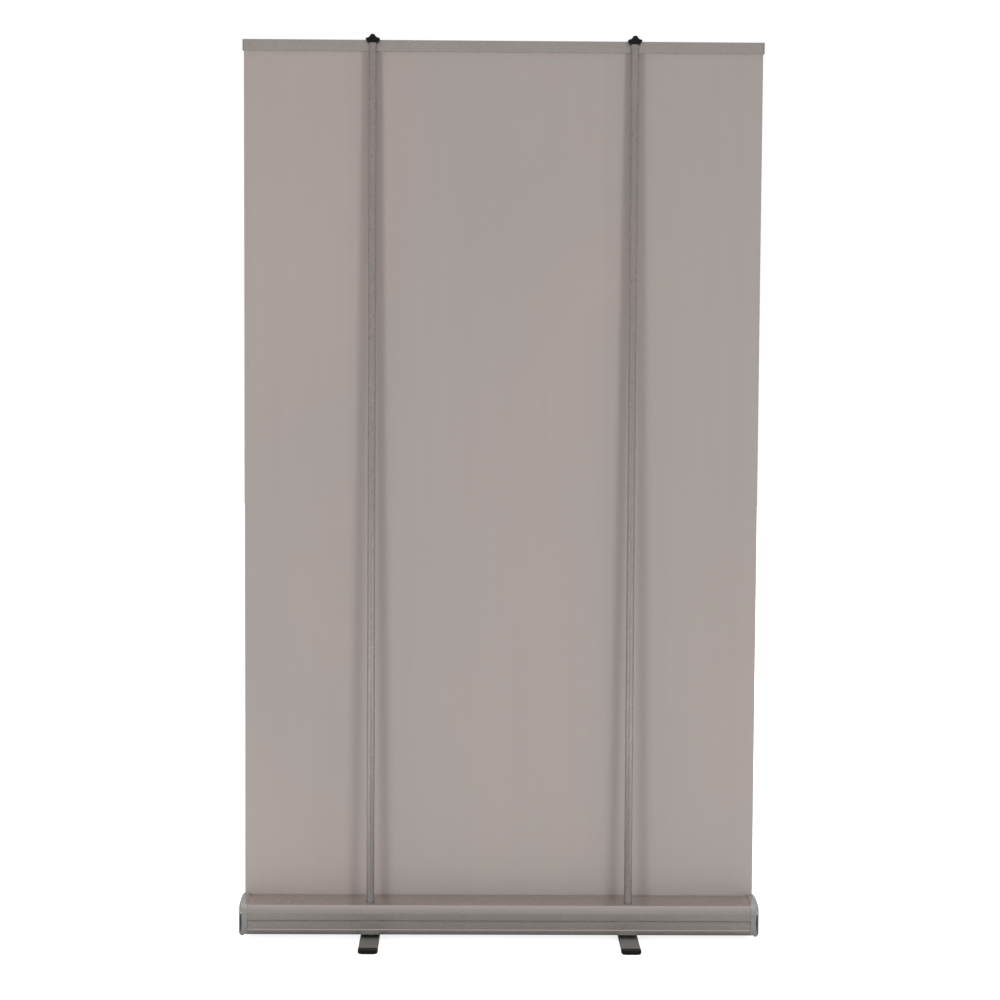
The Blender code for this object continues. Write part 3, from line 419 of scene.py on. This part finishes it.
SCREW_SEAT = 0.6055                       # distance from the middle of the stand, along X
SCREW_HEAD = 0.6062
pole_joint = JOINTS["pole_left_lift"]
POLE_AXIS = Vector(pole_joint["axis"]).normalized()
LEAN = math.atan2(POLE_AXIS.y, POLE_AXIS.z)


def rear_skin():
    """Outer line of the cover, bottom edge to slot, with a crease along its top."""
    shoulder = arc(SHOULDER, SHOULDER_RADIUS, math.pi, CREASE, 22)
    top = bend(shoulder[-1], CROWN, (SLOT_REAR, SLOT_Z), 18)
    return [(cover_low.y, cover_low.z)] + shoulder + top[1:]


def front_skin():
    """Outer line of the tray's front wall, from the slot down to the floor corner."""
    shoulder = bend((SLOT_FRONT, SLOT_Z), (tray_high.y, SLOT_Z), (tray_high.y, FRONT_SHOULDER_Z), 18)
    return shoulder + [(tray_high.y, tray_low.z)]


def hole_stations(length, radius):
    """Ring positions along X: the ends, and a narrow zone about each pole hole."""
    places = {-length / 2, length / 2, 0.0}
    for _, sign in SIDES:
        for shift in (-radius - 0.006, radius + 0.006):
            places.add(sign * pole_x + shift)
    return sorted(places)


pole_low, pole_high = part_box("pole_tube_right_lower")
pole_x = (pole_low.x + pole_high.x) / 2
length = cover_high.x - cover_low.x
POLE_BASE = Vector((0, -23.04 * MM, 58 * MM))


def pole_frame(side_sign, distance=0.0):
    """The frame of a pole: origin on its axis, some distance up, Z along the axis."""
    origin = POLE_BASE + Vector((side_sign * pole_x, 0, 0)) + POLE_AXIS * distance
    return Matrix.Translation(origin) @ Matrix.Rotation(-LEAN, 4, "X")


def build_cover():
    """The curved rear cover, its lower edge turned in, with a round hole for each pole."""
    skin = rear_skin()
    back, bottom = cover_low.y, cover_low.z
    lip = [(back + 1.2 * MM, bottom), (back + 0.35 * MM, bottom + 1.6 * MM), (back, bottom + 3.6 * MM)]
    outline = soften(lip + skin[1:] + offset_path(skin, -COVER_WALL)[::-1], 0.45 * MM)
    cover = to_object("cover_extrusion", prism(outline, hole_stations(length, 10 * MM)),
                      [LOOKS["satin_aluminium"]])
    for _, sign in SIDES:
        rod = [(0, 10 * MM), (POLE_HOLE, 10 * MM), (POLE_HOLE, 60 * MM), (0, 60 * MM)]
        carve(cover, "DIFFERENCE", turned(rod, 64, pole_frame(sign)))
    settle(cover)
    place_piece(cover, "housing", "satin_aluminium", "cassette_cover")


def build_tray():
    """The tray: its section and the bolt holes in its floor."""
    wall, bottom = tray_low.y, tray_low.z
    floor = bottom + TRAY_WALL
    tongue = wall + COVER_WALL + 1.2 * MM
    rear = [(wall + 1.6 * MM, bottom), (wall + 0.5 * MM, bottom + 2.6 * MM), (wall, bottom + 7 * MM),
            (wall, bottom + 11 * MM), (wall + 1.2 * MM, bottom + 12.6 * MM), (wall + 1.2 * MM, RIM_Z),
            (tongue, RIM_Z), (tongue, RIM_Z + 7 * MM), (tongue + 1.4 * MM, RIM_Z + 7 * MM),
            (tongue + 1.4 * MM, floor), (tray_high.y - TRAY_WALL, floor)]
    front = front_skin()
    outline = soften(front + rear + offset_path(front[:-1], -TRAY_WALL)[::-1], 0.6 * MM)
    tray = to_object("tray_extrusion", prism(outline, hole_stations(length, 10 * MM)),
                     [LOOKS["satin_aluminium"]])
    for side, _ in SIDES:
        bolt_low, bolt_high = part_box(f"pivot_bolt_{side}")
        middle = (bolt_low + bolt_high) / 2
        hole = [(0, 8 * MM), (4.2 * MM, 8 * MM), (4.2 * MM, 22 * MM), (0, 22 * MM)]
        carve(tray, "DIFFERENCE", turned(hole, 32, Matrix.Translation((middle.x, middle.y, 0))))
    settle(tray)
    place_piece(tray, "housing", "satin_aluminium", "base_tray")


def cassette_outline(outset, radius):
    """The whole section grown by outset, with rounded corners of a fixed point count."""
    sharp = [(tray_low.y, tray_low.z)] + rear_skin()[1:] + front_skin()
    return soften(offset_path(sharp, outset, closed=True), radius, 6, math.radians(20))


def cap_rings(inner, outer, sign):
    """Rings of a cap along X: a rounded lip, a straight sleeve and a domed end."""
    steps = [(inner, 0.5 * MM), (inner + 0.15 * MM, 0.2 * MM), (inner + 0.6 * MM, 0.0)]
    for i in range(0, 13):
        angle = math.radians(90) * i / 12
        steps.append((outer - CAP_DOME + CAP_DOME * math.sin(angle), CAP_DOME * (1 - math.cos(angle))))
    section = cassette_outline(CAP_GROW, 3.6 * MM)
    middle, half = (SLOT_Z + tray_low.z) / 2, (SLOT_Z - tray_low.z) / 2 + CAP_GROW
    rings = []
    for x, inset in steps:
        across, tall = 1 - inset / (tray_high.y + CAP_GROW), 1 - inset / half
        rings.append([(sign * x, y * across, middle + (z - middle) * tall) for y, z in section])
    return rings


def build_end_cap(side, sign):
    """A hollow cap that sleeves over the cassette, open below, with its two screws."""
    low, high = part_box(f"end_cap_{side}")
    inner, outer = sorted((abs(low.x), abs(high.x)))
    cap = to_object(f"cap_{side}_bright", loft(cap_rings(inner, outer, sign)),
                    [LOOKS["bright_silver_cap"]])
    under = sorted((sign * (inner - CAP_LIP / 2), sign * CAP_FLOOR_X))
    carve(cap, "DIFFERENCE", rounded_box((under[0], -0.06, 0.004), (under[1], 0.06, tray_low.z + 1 * MM),
                                         0.5 * MM))
    ends = (sign * (inner - CAP_LIP), sign * (outer - CAP_PLATE))
    section = cassette_outline(0.3 * MM, 0.6 * MM)
    carve(cap, "DIFFERENCE", prism(section, ends))
    ends = sorted(ends)
    carve(cap, "DIFFERENCE", rounded_box((ends[0], SLOT_REAR, 83 * MM), (ends[1], SLOT_FRONT, 0.11),
                                         0.4 * MM))
    for place in ("rear", "front"):
        low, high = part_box(f"cap_screw_{side}_{place}")
        middle = (low + high) / 2
        seat = [(0, SCREW_SEAT), (4 * MM, SCREW_SEAT), (4 * MM, SCREW_SEAT + 1.9 * MM),
                (4.3 * MM, SCREW_SEAT + 2.3 * MM), (4.5 * MM, 0.615), (0, 0.615)]
        turn = Matrix.Translation((0, middle.y, middle.z)) @ Matrix.Rotation(sign * math.pi / 2, 4, "Y")
        carve(cap, "DIFFERENCE", turned(seat, 40, turn))
        build_cap_screw(side, place, turn)
    settle(cap, 40.0)
    place_piece(cap, "housing", "bright_silver_cap", f"end_cap_{side}")


def build_cap_screw(side, place, turn):
    """A pan-head screw with a cross recess and a threaded shank."""
    head = SCREW_HEAD
    profile = [(0, head - 15.8 * MM), (1.1 * MM, head - 15.6 * MM)]
    for i in range(13):
        z = head - 14.4 * MM + i * 1.1 * MM
        profile += [(1.5 * MM, z), (1.95 * MM, z + 0.55 * MM)]
    profile += [(1.9 * MM, head), (3.3 * MM, head), (3.5 * MM, head + 0.25 * MM),
                (3.42 * MM, head + 0.8 * MM), (2.9 * MM, head + 1.3 * MM),
                (1.8 * MM, head + 1.6 * MM), (0, head + 1.7 * MM)]
    screw = to_object(f"cap_screw_{side}_{place}_detail", turned(profile, 32, turn),
                      [LOOKS["zinc_steel"]])
    for size in ((1.9 * MM, 0.36 * MM), (0.36 * MM, 1.9 * MM)):
        low = (-size[0], -size[1], head + 0.5 * MM)
        recess = rounded_box(low, (size[0], size[1], head + 3 * MM), 0.12 * MM, 2)
        bmesh.ops.transform(recess, matrix=turn, verts=recess.verts)
        carve(screw, "DIFFERENCE", recess)
    settle(screw)
    place_piece(screw, "housing", "zinc_steel", f"cap_screw_{side}_{place}")


# ---------------------------------------------------------------- film

EDGE_CURL = 0.05                          # width of the film's slightly curled edge


def build_film():
    """The hanging film: a taut sheet with faint tension ripples and slightly curled edges."""
    low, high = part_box("banner_film")
    middle = (low.y + high.y) / 2
    columns, rows = 140, 200
    calm, ease = high.z - 150 * MM, 0.35
    bm = bmesh.new()
    grid = []
    for j in range(rows + 1):
        z = low.z + (high.z - low.z) * j / rows
        share = min(max((calm - z) / ease, 0.0), 1.0) * min(max((z - low.z - 0.045) / ease, 0.0), 1.0)
        share = share * share * (3 - 2 * share)
        line = []
        for i in range(columns + 1):
            t = 2 * i / columns - 1
            x = high.x * math.copysign(1 - (1 - abs(t)) ** 1.5, t)
            edge = max(0.0, abs(x) - (high.x - EDGE_CURL)) / EDGE_CURL
            ripple = 0.7 * MM * noise.noise((x * 7.0, 3.1, z * 1.1))
            ripple += 0.25 * MM * noise.noise((x * 23.0, 9.7, z * 2.3))
            y = middle + share * (ripple + 1.1 * MM * edge ** 2)
            line.append(bm.verts.new((x, y, z)))
        grid.append(line)
    for low_row, high_row in zip(grid, grid[1:]):
        for i in range(columns):
            bm.faces.new((low_row[i], low_row[i + 1], high_row[i + 1], high_row[i]))
    film = to_object("film_sheet", bm, [LOOKS["banner_film"], FILM_FRONT], 60.0)
    solid = film.modifiers.new("thickness", "SOLIDIFY")
    solid.thickness, solid.offset = high.y - low.y - 0.05 * MM, 0.0
    graph = bpy.context.evaluated_depsgraph_get()
    film.data = bpy.data.meshes.new_from_object(film.evaluated_get(graph))
    film.modifiers.clear()
    for face in film.data.polygons:
        face.material_index = 1 if face.normal.y > 0.5 else 0
    place_piece(film, "housing", "banner_film", "banner_film")
    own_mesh(film)


def build_wrap():
    """The film wound on the roller: a spiral whose turns show at its ends."""
    low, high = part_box("film_wrap")
    centre = ((low.y + high.y) / 2, (low.z + high.z) / 2)
    outer, inner, turns = (high.y - low.y) / 2, 16.3 * MM, 5
    per_turn = 56
    pitch = (outer - inner) / (turns + 1)
    spiral = []
    for i in range(turns * per_turn + 1):
        angle = -math.tau * i / per_turn
        radius = inner + pitch * i / per_turn
        spiral.append((centre[0] + radius * math.cos(angle), centre[1] + radius * math.sin(angle)))
    outline = spiral + offset_path(spiral, pitch * 0.86)[::-1]
    wrap = to_object("wound_film", prism(outline, (low.x, 0.0, high.x)), [LOOKS["banner_film"]])
    place_piece(wrap, "roller", "banner_film", "film_wrap")


# ---------------------------------------------------------------- rail

rail_low, rail_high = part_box("rail_body")
_, jaw_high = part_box("rail_jaw")
HINGE = Vector(JOINTS["rail_jaw_open"]["pos_m"])
RAIL_WALL = 2 * MM
RAIL_MIDDLE_Y = 30.4 * MM                 # front of the closed channel that holds the hinge
RAIL_CAP = 2.5 * MM
film_low, film_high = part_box("banner_film")


def build_rail():
    """Both halves of the clamp rail and its end caps, with the extrusions' small radii."""
    rear, bottom, top = rail_low.y, rail_low.z, rail_high.z
    inner, groove, middle = rear + RAIL_WALL, top - 11 * MM, RAIL_MIDDLE_Y
    axis = (HINGE.y, HINGE.z)
    seat = arc(axis, 2.3 * MM, math.radians(60), math.radians(250), 22)
    crown = arc(axis, 4.2 * MM, math.radians(95), math.radians(60), 6)
    heel = arc(axis, 4.2 * MM, math.radians(250), math.radians(235), 3)
    face = film_low.y - 0.3 * MM
    body = [
        (rear, bottom), (rear, top), (inner, top), (inner, groove), (middle, groove),
        (middle, top - 1 * MM), (middle + 1 * MM, top), *crown, *seat, *heel,
        (middle + 1.6 * MM, HINGE.z - 5 * MM), (middle + 1.6 * MM, groove - 1.6 * MM),
        (inner, groove - 1.6 * MM), (inner, bottom + 6 * MM), (face, bottom + 4.5 * MM), (face, bottom),
    ]
    stations = (rail_low.x, -pole_x, 0.0, pole_x, rail_high.x)
    rail = to_object("rail_rear_extrusion", prism(soften(body, 0.4 * MM), stations),
                     [LOOKS["satin_aluminium"]])
    place_piece(rail, "rail", "satin_aluminium", "rail_body")
    front, grip = jaw_high.y, film_high.y + 0.3 * MM
    bead = [(y, z) for y, z in arc(axis, 2 * MM, math.radians(-320), math.radians(-70), 30)]
    jaw = [
        *bead, (bead[-1][0], HINGE.z - 3.4 * MM), (front - 1.6 * MM, HINGE.z - 5 * MM),
        (front - 1.6 * MM, bottom + 3.6 * MM), (grip, bottom + 4.4 * MM), (grip, bottom),
        (front - 1 * MM, bottom), (front, bottom + 1 * MM), (front, HINGE.z - 4 * MM),
    ]
    clip = to_object("rail_front_extrusion", prism(soften(jaw, 0.4 * MM), stations),
                     [LOOKS["satin_aluminium"]])
    place_piece(clip, "jaw", "satin_aluminium", "rail_jaw")
    for side, sign in SIDES:
        low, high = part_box(f"rail_end_cap_{side}")
        inner_x, outer_x = (high.x - RAIL_CAP, high.x) if sign > 0 else (low.x, low.x + RAIL_CAP)
        plate = to_object(f"rail_cap_{side}_moulded",
                          rounded_box((inner_x, low.y, low.z), (outer_x, high.y, high.z), 0.8 * MM, 4),
                          [LOOKS["bright_silver_cap"]])
        place_piece(plate, "rail", "bright_silver_cap", f"rail_end_cap_{side}")


# ---------------------------------------------------------------- poles and hooks

POLE_SECTION = 675.11 * MM
POLE_SEAM = 0.3 * MM
POLE_WALL = 0.8 * MM
STEM_RADIUS = 7.9 * MM
STEM_DEPTH = 24 * MM


def tube_profile(radius, inner, start, end):
    """A tube's section with small broken edges at both ends."""
    edge = 0.25 * MM
    return [(radius - edge, start), (radius, start + edge), (radius, end - edge), (radius - edge, end),
            (inner, end), (inner, start)]


def build_poles():
    """Three tubes to a pole, with a hairline seam at each ferrule, and the hook on top."""
    radius = (pole_high.x - pole_low.x) / 2
    section, seam = POLE_SECTION, POLE_SEAM / 2
    for side, sign in SIDES:
        spans = (("lower", 4 * MM, section - seam),
                 ("middle", section + seam, 2 * section - seam),
                 ("upper", 2 * section + seam, 3 * section))
        for place, start, end in spans:
            body = turned(tube_profile(radius, radius - POLE_WALL, start, end), 64,
                          pole_frame(sign), hollow=True)
            tube = to_object(f"pole_{side}_{place}_drawn", body, [LOOKS["anodised_tube"]])
            place_piece(tube, f"pole_{side}_{place}", "anodised_tube", f"pole_tube_{side}_{place}")
        build_hook(side, sign, 3 * section)


def hook_outline():
    """Rear view of the hook in (X, Z) about the pole's top: a wide saddle with a rounded peak."""
    half = 16.2 * MM
    right = bend((10.2 * MM, -1 * MM), (11.4 * MM, -1 * MM), (12 * MM, 0.2 * MM), 4)
    right += bend((half - 1 * MM, 4.8 * MM), (half, 6.4 * MM), (half, 7.4 * MM), 4)
    right += bend((half, 7.6 * MM), (half, 9 * MM), (half - 2 * MM, 9.6 * MM), 5)[1:]
    right += bend((half - 2.4 * MM, 9.7 * MM), (8 * MM, 10.6 * MM), (6.2 * MM, 14.4 * MM), 9)[1:]
    right += bend((6.2 * MM, 14.4 * MM), (4.6 * MM, 18.2 * MM), (2.2 * MM, 18.2 * MM), 7)[1:]
    return right + [(-x, z) for x, z in reversed(right)]


def build_hook(side, sign, distance):
    """The moulded hook: saddle, slot for the rail's rear wall and the stem in the pole."""
    low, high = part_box(f"pole_hook_{side}")
    top = pole_frame(sign, distance).translation
    rings = []
    for t, inset in ((0.0, 0.9), (0.3, 0.4), (1.0, 0.0)):
        rings.append((low.y + t * MM, inset * MM))
    rings += [(low.y + high.y - y, inset) for y, inset in reversed(rings)]
    outline = hook_outline()
    bm = loft([[(top.x + x, y, top.z + z) for x, z in offset_path(outline, inset, closed=True)]
               for y, inset in rings])
    hook = to_object(f"hook_{side}_moulded", bm, [LOOKS["black_plastic"]])
    wall = (rail_low.y - 0.4 * MM, rail_low.y + 2.4 * MM)
    carve(hook, "DIFFERENCE", rounded_box((top.x - 0.03, wall[0], top.z - 0.01),
                                          (top.x + 0.03, wall[1], rail_high.z + 0.4 * MM), 0.3 * MM))
    carve(hook, "DIFFERENCE", rounded_box((top.x - 0.03, rail_low.y - 0.1 * MM, top.z - 0.01),
                                          (top.x + 0.03, 0.045, top.z + 1 * MM), 0.3 * MM))
    bore = [(0, -10 * MM), (9.3 * MM, -10 * MM), (9.3 * MM, 0.3 * MM), (0, 0.3 * MM)]
    carve(hook, "DIFFERENCE", turned(bore, 48, pole_frame(sign, distance)))
    stem = [(0, -STEM_DEPTH), (7.0 * MM, -STEM_DEPTH), (STEM_RADIUS, 1.4 * MM - STEM_DEPTH),
            (STEM_RADIUS, 4 * MM), (0, 4 * MM)]
    carve(hook, "UNION", turned(stem, 48, pole_frame(sign, distance)))
    settle(hook)
    place_piece(hook, f"pole_{side}_upper", "black_plastic", f"pole_hook_{side}")


# ---------------------------------------------------------------- feet

def foot_outline(width, low, high, radius):
    """The bar's (X, Z) section, its corners rounded."""
    half = width / 2
    return soften([(-half, low), (half, low), (half, high), (-half, high)], radius, 5)


FOOT_WALL = 1.4 * MM
PLUG_TURN = 13 * MM                       # how far the nose's corner runs along each side
PLUG_NOSE = 25.7 * MM
PLUG_TONGUE = 18 * MM


def build_feet():
    """Each foot's hollow bar, drilled for its bolt, with a plug at both ends."""
    for side, sign in SIDES:
        low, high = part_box(f"foot_bar_{side}")
        centre = (low.x + high.x) / 2
        outer = foot_outline(high.x - low.x, low.z, high.z, 2.6 * MM)
        inner = foot_outline(high.x - low.x - 2 * FOOT_WALL, low.z + FOOT_WALL, high.z - FOOT_WALL,
                             0.4 * MM)
        rings = [
            [(centre + x, y, z) for x, z in ring]
            for y, ring in ((low.y, outer), (high.y, outer), (high.y, inner), (low.y, inner))
        ]
        bar = to_object(f"foot_{side}_extrusion", loft(rings, closed=False), [LOOKS["foot_profile"]])
        for radius, start, end in ((4.2 * MM, -1 * MM, 12 * MM), (8.5 * MM, -2 * MM, 1.6 * MM)):
            rod = [(0, start), (radius, start), (radius, end), (0, end)]
            carve(bar, "DIFFERENCE", turned(rod, 40, Matrix.Translation((centre, 0, 0))))
        settle(bar)
        place_piece(bar, f"foot_{side}", "foot_profile", f"foot_bar_{side}")
        for end, way in (("rear", -1), ("front", 1)):
            build_foot_plug(side, end, way, centre)


def build_foot_plug(side, end, way, centre):
    """A moulded plug: a rounded nose with softened rims, and a tongue inside the bar."""
    low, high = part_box(f"foot_plug_{side}_{end}")
    tip = high.y if way > 0 else -low.y
    root = tip - PLUG_NOSE
    half, top = (high.x - low.x) / 2, high.z
    plan = [(-half, root), (half, root)]
    plan += bend((half, tip - PLUG_TURN), (half, tip), (half - PLUG_TURN, tip), 12)
    plan += bend((-half + PLUG_TURN, tip), (-half, tip), (-half, tip - PLUG_TURN), 12)
    layers = ((0.0, 2.2), (0.5, 1.3), (1.3, 0.5), (2.6, 0.0), (top / MM - 2.2, 0.0),
              (top / MM - 1.1, 0.3), (top / MM - 0.35, 1.0), (top / MM, 2.1))
    rings = [[(centre + x, way * y, z * MM) for x, y in offset_path(plan, inset * MM, closed=True)]
             for z, inset in layers]
    plug = to_object(f"foot_plug_{side}_{end}_moulded", loft(rings), [LOOKS["black_plastic"]])
    tongue = foot_outline(41.6 * MM, 2.5 * MM, 7.1 * MM, 0.6 * MM)
    span = (root - PLUG_TONGUE, root + 5 * MM)
    carve(plug, "UNION", loft([[(centre + x, way * y, z) for x, z in tongue] for y in span]))
    settle(plug, 38.0)
    place_piece(plug, f"foot_{side}", "black_plastic", f"foot_plug_{side}_{end}")


# ---------------------------------------------------------------- pieces kept from the frame

def smooth_group():
    """A node group that joins split facets and smooths round surfaces."""
    group = bpy.data.node_groups.new("smooth_round_faces", "GeometryNodeTree")
    group.is_modifier = True
    group.interface.new_socket("Geometry", in_out="INPUT", socket_type="NodeSocketGeometry")
    group.interface.new_socket("Geometry", in_out="OUTPUT", socket_type="NodeSocketGeometry")
    nodes, links = group.nodes, group.links
    start, end = nodes.new("NodeGroupInput"), nodes.new("NodeGroupOutput")
    merge = nodes.new("GeometryNodeMergeByDistance")
    merge.inputs["Distance"].default_value = 0.00001
    angle = nodes.new("GeometryNodeInputMeshEdgeAngle")
    gentle = nodes.new("FunctionNodeCompare")
    gentle.operation = "LESS_THAN"
    gentle.inputs[1].default_value = math.radians(48)
    faces = nodes.new("GeometryNodeSetShadeSmooth")
    edges = nodes.new("GeometryNodeSetShadeSmooth")
    edges.domain = "EDGE"
    links.new(start.outputs[0], merge.inputs["Geometry"])
    links.new(merge.outputs[0], faces.inputs["Geometry"])
    links.new(faces.outputs[0], edges.inputs["Geometry"])
    links.new(angle.outputs[0], gentle.inputs[0])
    links.new(gentle.outputs[0], edges.inputs["Shade Smooth"])
    links.new(edges.outputs[0], end.inputs[0])
    return group


def dress_frame():
    """Give each CAD piece that stays its procedural finish and smooth round faces."""
    group = smooth_group()
    for part in frame["record"]["subparts"]:
        node = NODES[part["node"]]
        if node.hide_render:
            continue
        for material_slot in node.material_slots:
            material_slot.material = LOOKS[part["material_slot"]]
        if "custom_normal" in node.data.attributes:
            node.data.attributes.remove(node.data.attributes["custom_normal"])
        node.modifiers.new("smooth", "NODES").node_group = group


# ---------------------------------------------------------------- stage, light and camera

FLOOR = (0.88, 0.88, 0.88)
FILL = 0.5
# strength of the floor's painted glow near the stand
FLOOR_BOUNCE_GLOW = 0.42
# painted shade in the floor's reflection tones: near the stand and in a patch further out
MIRROR_NEAR_SHADE, MIRROR_SHADE_PATCH = 0.55, 0.5
ROOM = ((0.0, 0.2), (0.47, 0.46), (0.50, 0.42), (0.552, 0.44), (0.638, 0.42), (0.86, 0.52), (0.964, 0.57),
        (1.0, 0.6))
REAR_LIGHT = ((3.1, -4.4, 1.25), (0, 0, 0.7), 78)      # place, target and power
FRONT_LIGHT = ((3.0, 4.2, 2.4), (0, 0, 1.0), 78)
LIGHT_SIZE = 1.7
CAMERA_PLACE = (-0.072, -5.589, 1.426)
CAMERA_TURN = (0.705, -4.057, 0.34)       # yaw, pitch and roll in degrees
CAMERA_LENS = 36.0 * 2.4069


def painted_floor_reflection(look, x, y, reach):
    """Painted reflection tones: the floor as polished parts see it, dimmer near the stand and in a patch further
    out as painted shade, bright aside, with painted shade under the cassette and painted dark reflections beside
    the caps.
    """
    def both(first, second):
        return look.math("MULTIPLY", first, second)

    aside = look.math("ABSOLUTE", x, 0.0)
    shade_patch = both(look.fit(aside, 1.0, 0.0, 1.0, 1.6), look.fit(y, 1.0, 0.0, -1.1, -0.5))
    tone = look.blend(shade_patch, (MIRROR_NEAR_SHADE,) * 3, (MIRROR_SHADE_PATCH,) * 3)
    tone = look.blend(look.fit(aside, 0.0, 1.0, 1.0, 1.8), tone, (0.95, 0.95, 0.95))
    tone = look.blend(look.fit(reach, 0.0, 1.0, 3.0, 6.0), tone, (0.98, 0.98, 0.98))
    # painted contact shade on the floor under the cassette, seen only in reflections
    under = both(look.fit(aside, 1.0, 0.0, 0.6, 0.66), look.fit(y, 0.0, 0.35, -0.19, -0.1))
    tone = look.blend(under, tone, (0.04, 0.04, 0.04))
    # painted dark reflection on the floor beside the caps
    dark_reflection_aside = both(look.fit(aside, 0.0, 1.0, 0.655, 0.69), look.fit(y, 0.0, 1.0, -0.29, -0.21))
    dark_reflection_aside = both(dark_reflection_aside, look.fit(aside, 1.0, 0.0, 0.9, 1.05))
    dark_reflection_aside = both(dark_reflection_aside, look.fit(y, 1.0, 0.0, -0.055, -0.03))
    return look.blend(dark_reflection_aside, tone, (0.08, 0.08, 0.08))


def build_stage():
    """A plain pale floor: white to the eye further out, with painted reflection tones for polished parts and a
    little bounce near the stand from a painted glow.
    """
    bm = bmesh.new()
    bmesh.ops.create_grid(bm, x_segments=8, y_segments=8, size=14.0)
    look = Look("floor_finish", FLOOR, 0.85, specular_ior_level=0.1)
    path = look.add("ShaderNodeLightPath").outputs
    reach = look.add("ShaderNodeVectorMath", {0: look.coords}, operation="LENGTH").outputs["Value"]
    x, y, _ = look.add("ShaderNodeSeparateXYZ", {0: look.coords}).outputs
    # painted reflection tones, seen only by glossy rays
    mirror = painted_floor_reflection(look, x, y, reach)
    look.link(look.blend(path["Is Glossy Ray"], FLOOR, mirror), "Base Color")
    seen = look.math("MULTIPLY", path["Is Camera Ray"], look.fit(reach, 0.8, 1.6, 0.9, 4.0))
    # painted glow: near the stand the floor emits light for diffuse rays, standing in for bounce light
    near = look.fit(reach, FLOOR_BOUNCE_GLOW, 0.0, 0.9, 1.6)
    bounce = look.math("MULTIPLY", path["Is Diffuse Ray"], near)
    look.set("Emission Color", (1.0, 1.0, 1.0, 1.0))
    look.link(look.math("ADD", seen, bounce), "Emission Strength")
    floor = to_object("floor", bm, [look.mat])
    floor.location.z = -0.0005


def build_world():
    """White to the eye, an even fill for matt surfaces, and a room with dark sides in reflections."""
    world = bpy.data.worlds.new("studio")
    bpy.context.scene.world = world
    world.use_nodes = True
    tree = world.node_tree
    tree.nodes.clear()

    def add(kind, *values, **settings):
        node = tree.nodes.new(kind)
        for key, value in settings.items():
            setattr(node, key, value)
        for key, value in enumerate(values):
            if isinstance(value, bpy.types.NodeSocket):
                tree.links.new(value, node.inputs[key])
            else:
                node.inputs[key].default_value = value
        return node

    sight = add("ShaderNodeLightPath").outputs
    x, y, z = add("ShaderNodeSeparateXYZ", add("ShaderNodeTexCoord").outputs["Generated"]).outputs
    ramp = add("ShaderNodeValToRGB", add("ShaderNodeMapRange", z, -1.0, 1.0).outputs[0])
    elements = ramp.color_ramp.elements
    for index, (position, level) in enumerate(ROOM):
        element = elements[index] if index < 2 else elements.new(position)
        element.position = position
        element.color = (level, level * 0.985, level * 0.97, 1.0)
    aside = add("ShaderNodeMapRange", add("ShaderNodeMath", x, operation="ABSOLUTE").outputs[0],
                0.35, 0.85).outputs[0]
    low = add("ShaderNodeMapRange", z, -0.05, 0.16, 1.0, 0.0).outputs[0]
    ahead = add("ShaderNodeMapRange", y, 0.0, 0.25).outputs[0]
    dark = add("ShaderNodeMath", aside, low, operation="MULTIPLY").outputs[0]
    dark = add("ShaderNodeMath", dark, ahead, operation="MULTIPLY").outputs[0]
    light = add("ShaderNodeMath", 1.0, dark, operation="SUBTRACT").outputs[0]
    fill = add("ShaderNodeBackground", (1.0, 0.99, 0.98, 1.0), FILL)
    mirror = add("ShaderNodeBackground", ramp.outputs[0], light)
    white = add("ShaderNodeBackground", (1.0, 1.0, 1.0, 1.0), 1.0)
    unseen = add("ShaderNodeMixShader", sight["Is Glossy Ray"], fill.outputs[0], mirror.outputs[0])
    final = add("ShaderNodeMixShader", sight["Is Camera Ray"], unseen.outputs[0], white.outputs[0])
    add("ShaderNodeOutputWorld", final.outputs[0])


def add_softbox(name, place, target, power):
    """A large soft light aimed at a point, unseen by the camera and in reflections."""
    light = bpy.data.lights.new(name, "AREA")
    light.shape, light.size, light.energy = "DISK", LIGHT_SIZE, power
    obj = bpy.data.objects.new(name, light)
    bpy.context.scene.collection.objects.link(obj)
    obj.location = place
    obj.rotation_euler = (Vector(target) - Vector(place)).to_track_quat("-Z", "Y").to_euler()
    obj.visible_camera = False
    obj.visible_glossy = False


def build_camera():
    """A long lens at chest height behind the stand, looking slightly down."""
    yaw, pitch, roll = (math.radians(angle) for angle in CAMERA_TURN)
    ahead = Vector((math.sin(yaw) * math.cos(pitch), math.cos(yaw) * math.cos(pitch), math.sin(pitch)))
    right = Vector((math.cos(yaw), -math.sin(yaw), 0.0))
    up = right.cross(ahead)
    tilted = right * math.cos(roll) + up * math.sin(roll)
    upright = up * math.cos(roll) - right * math.sin(roll)
    camera = bpy.data.cameras.new("camera")
    camera.sensor_width, camera.lens = 36.0, CAMERA_LENS
    camera.clip_start, camera.clip_end = 0.1, 60.0
    obj = bpy.data.objects.new("camera", camera)
    bpy.context.scene.collection.objects.link(obj)
    turn = Matrix((tilted, upright, -ahead)).transposed().to_4x4()
    obj.matrix_world = Matrix.Translation(CAMERA_PLACE) @ turn
    bpy.context.scene.camera = obj


build_cover()
build_tray()
for cap_side, cap_sign in SIDES:
    build_end_cap(cap_side, cap_sign)
build_film()
build_wrap()
build_rail()
build_poles()
build_feet()
dress_frame()
build_stage()
build_world()
for side_name, side_sign in SIDES:
    for end_name, ((out, back, up), aim, power) in (("rear", REAR_LIGHT), ("front", FRONT_LIGHT)):
        add_softbox(f"{end_name}_softbox_{side_name}", (side_sign * out, back, up), aim, power)
build_camera()
bpy.context.scene.view_settings.view_transform = "Standard"
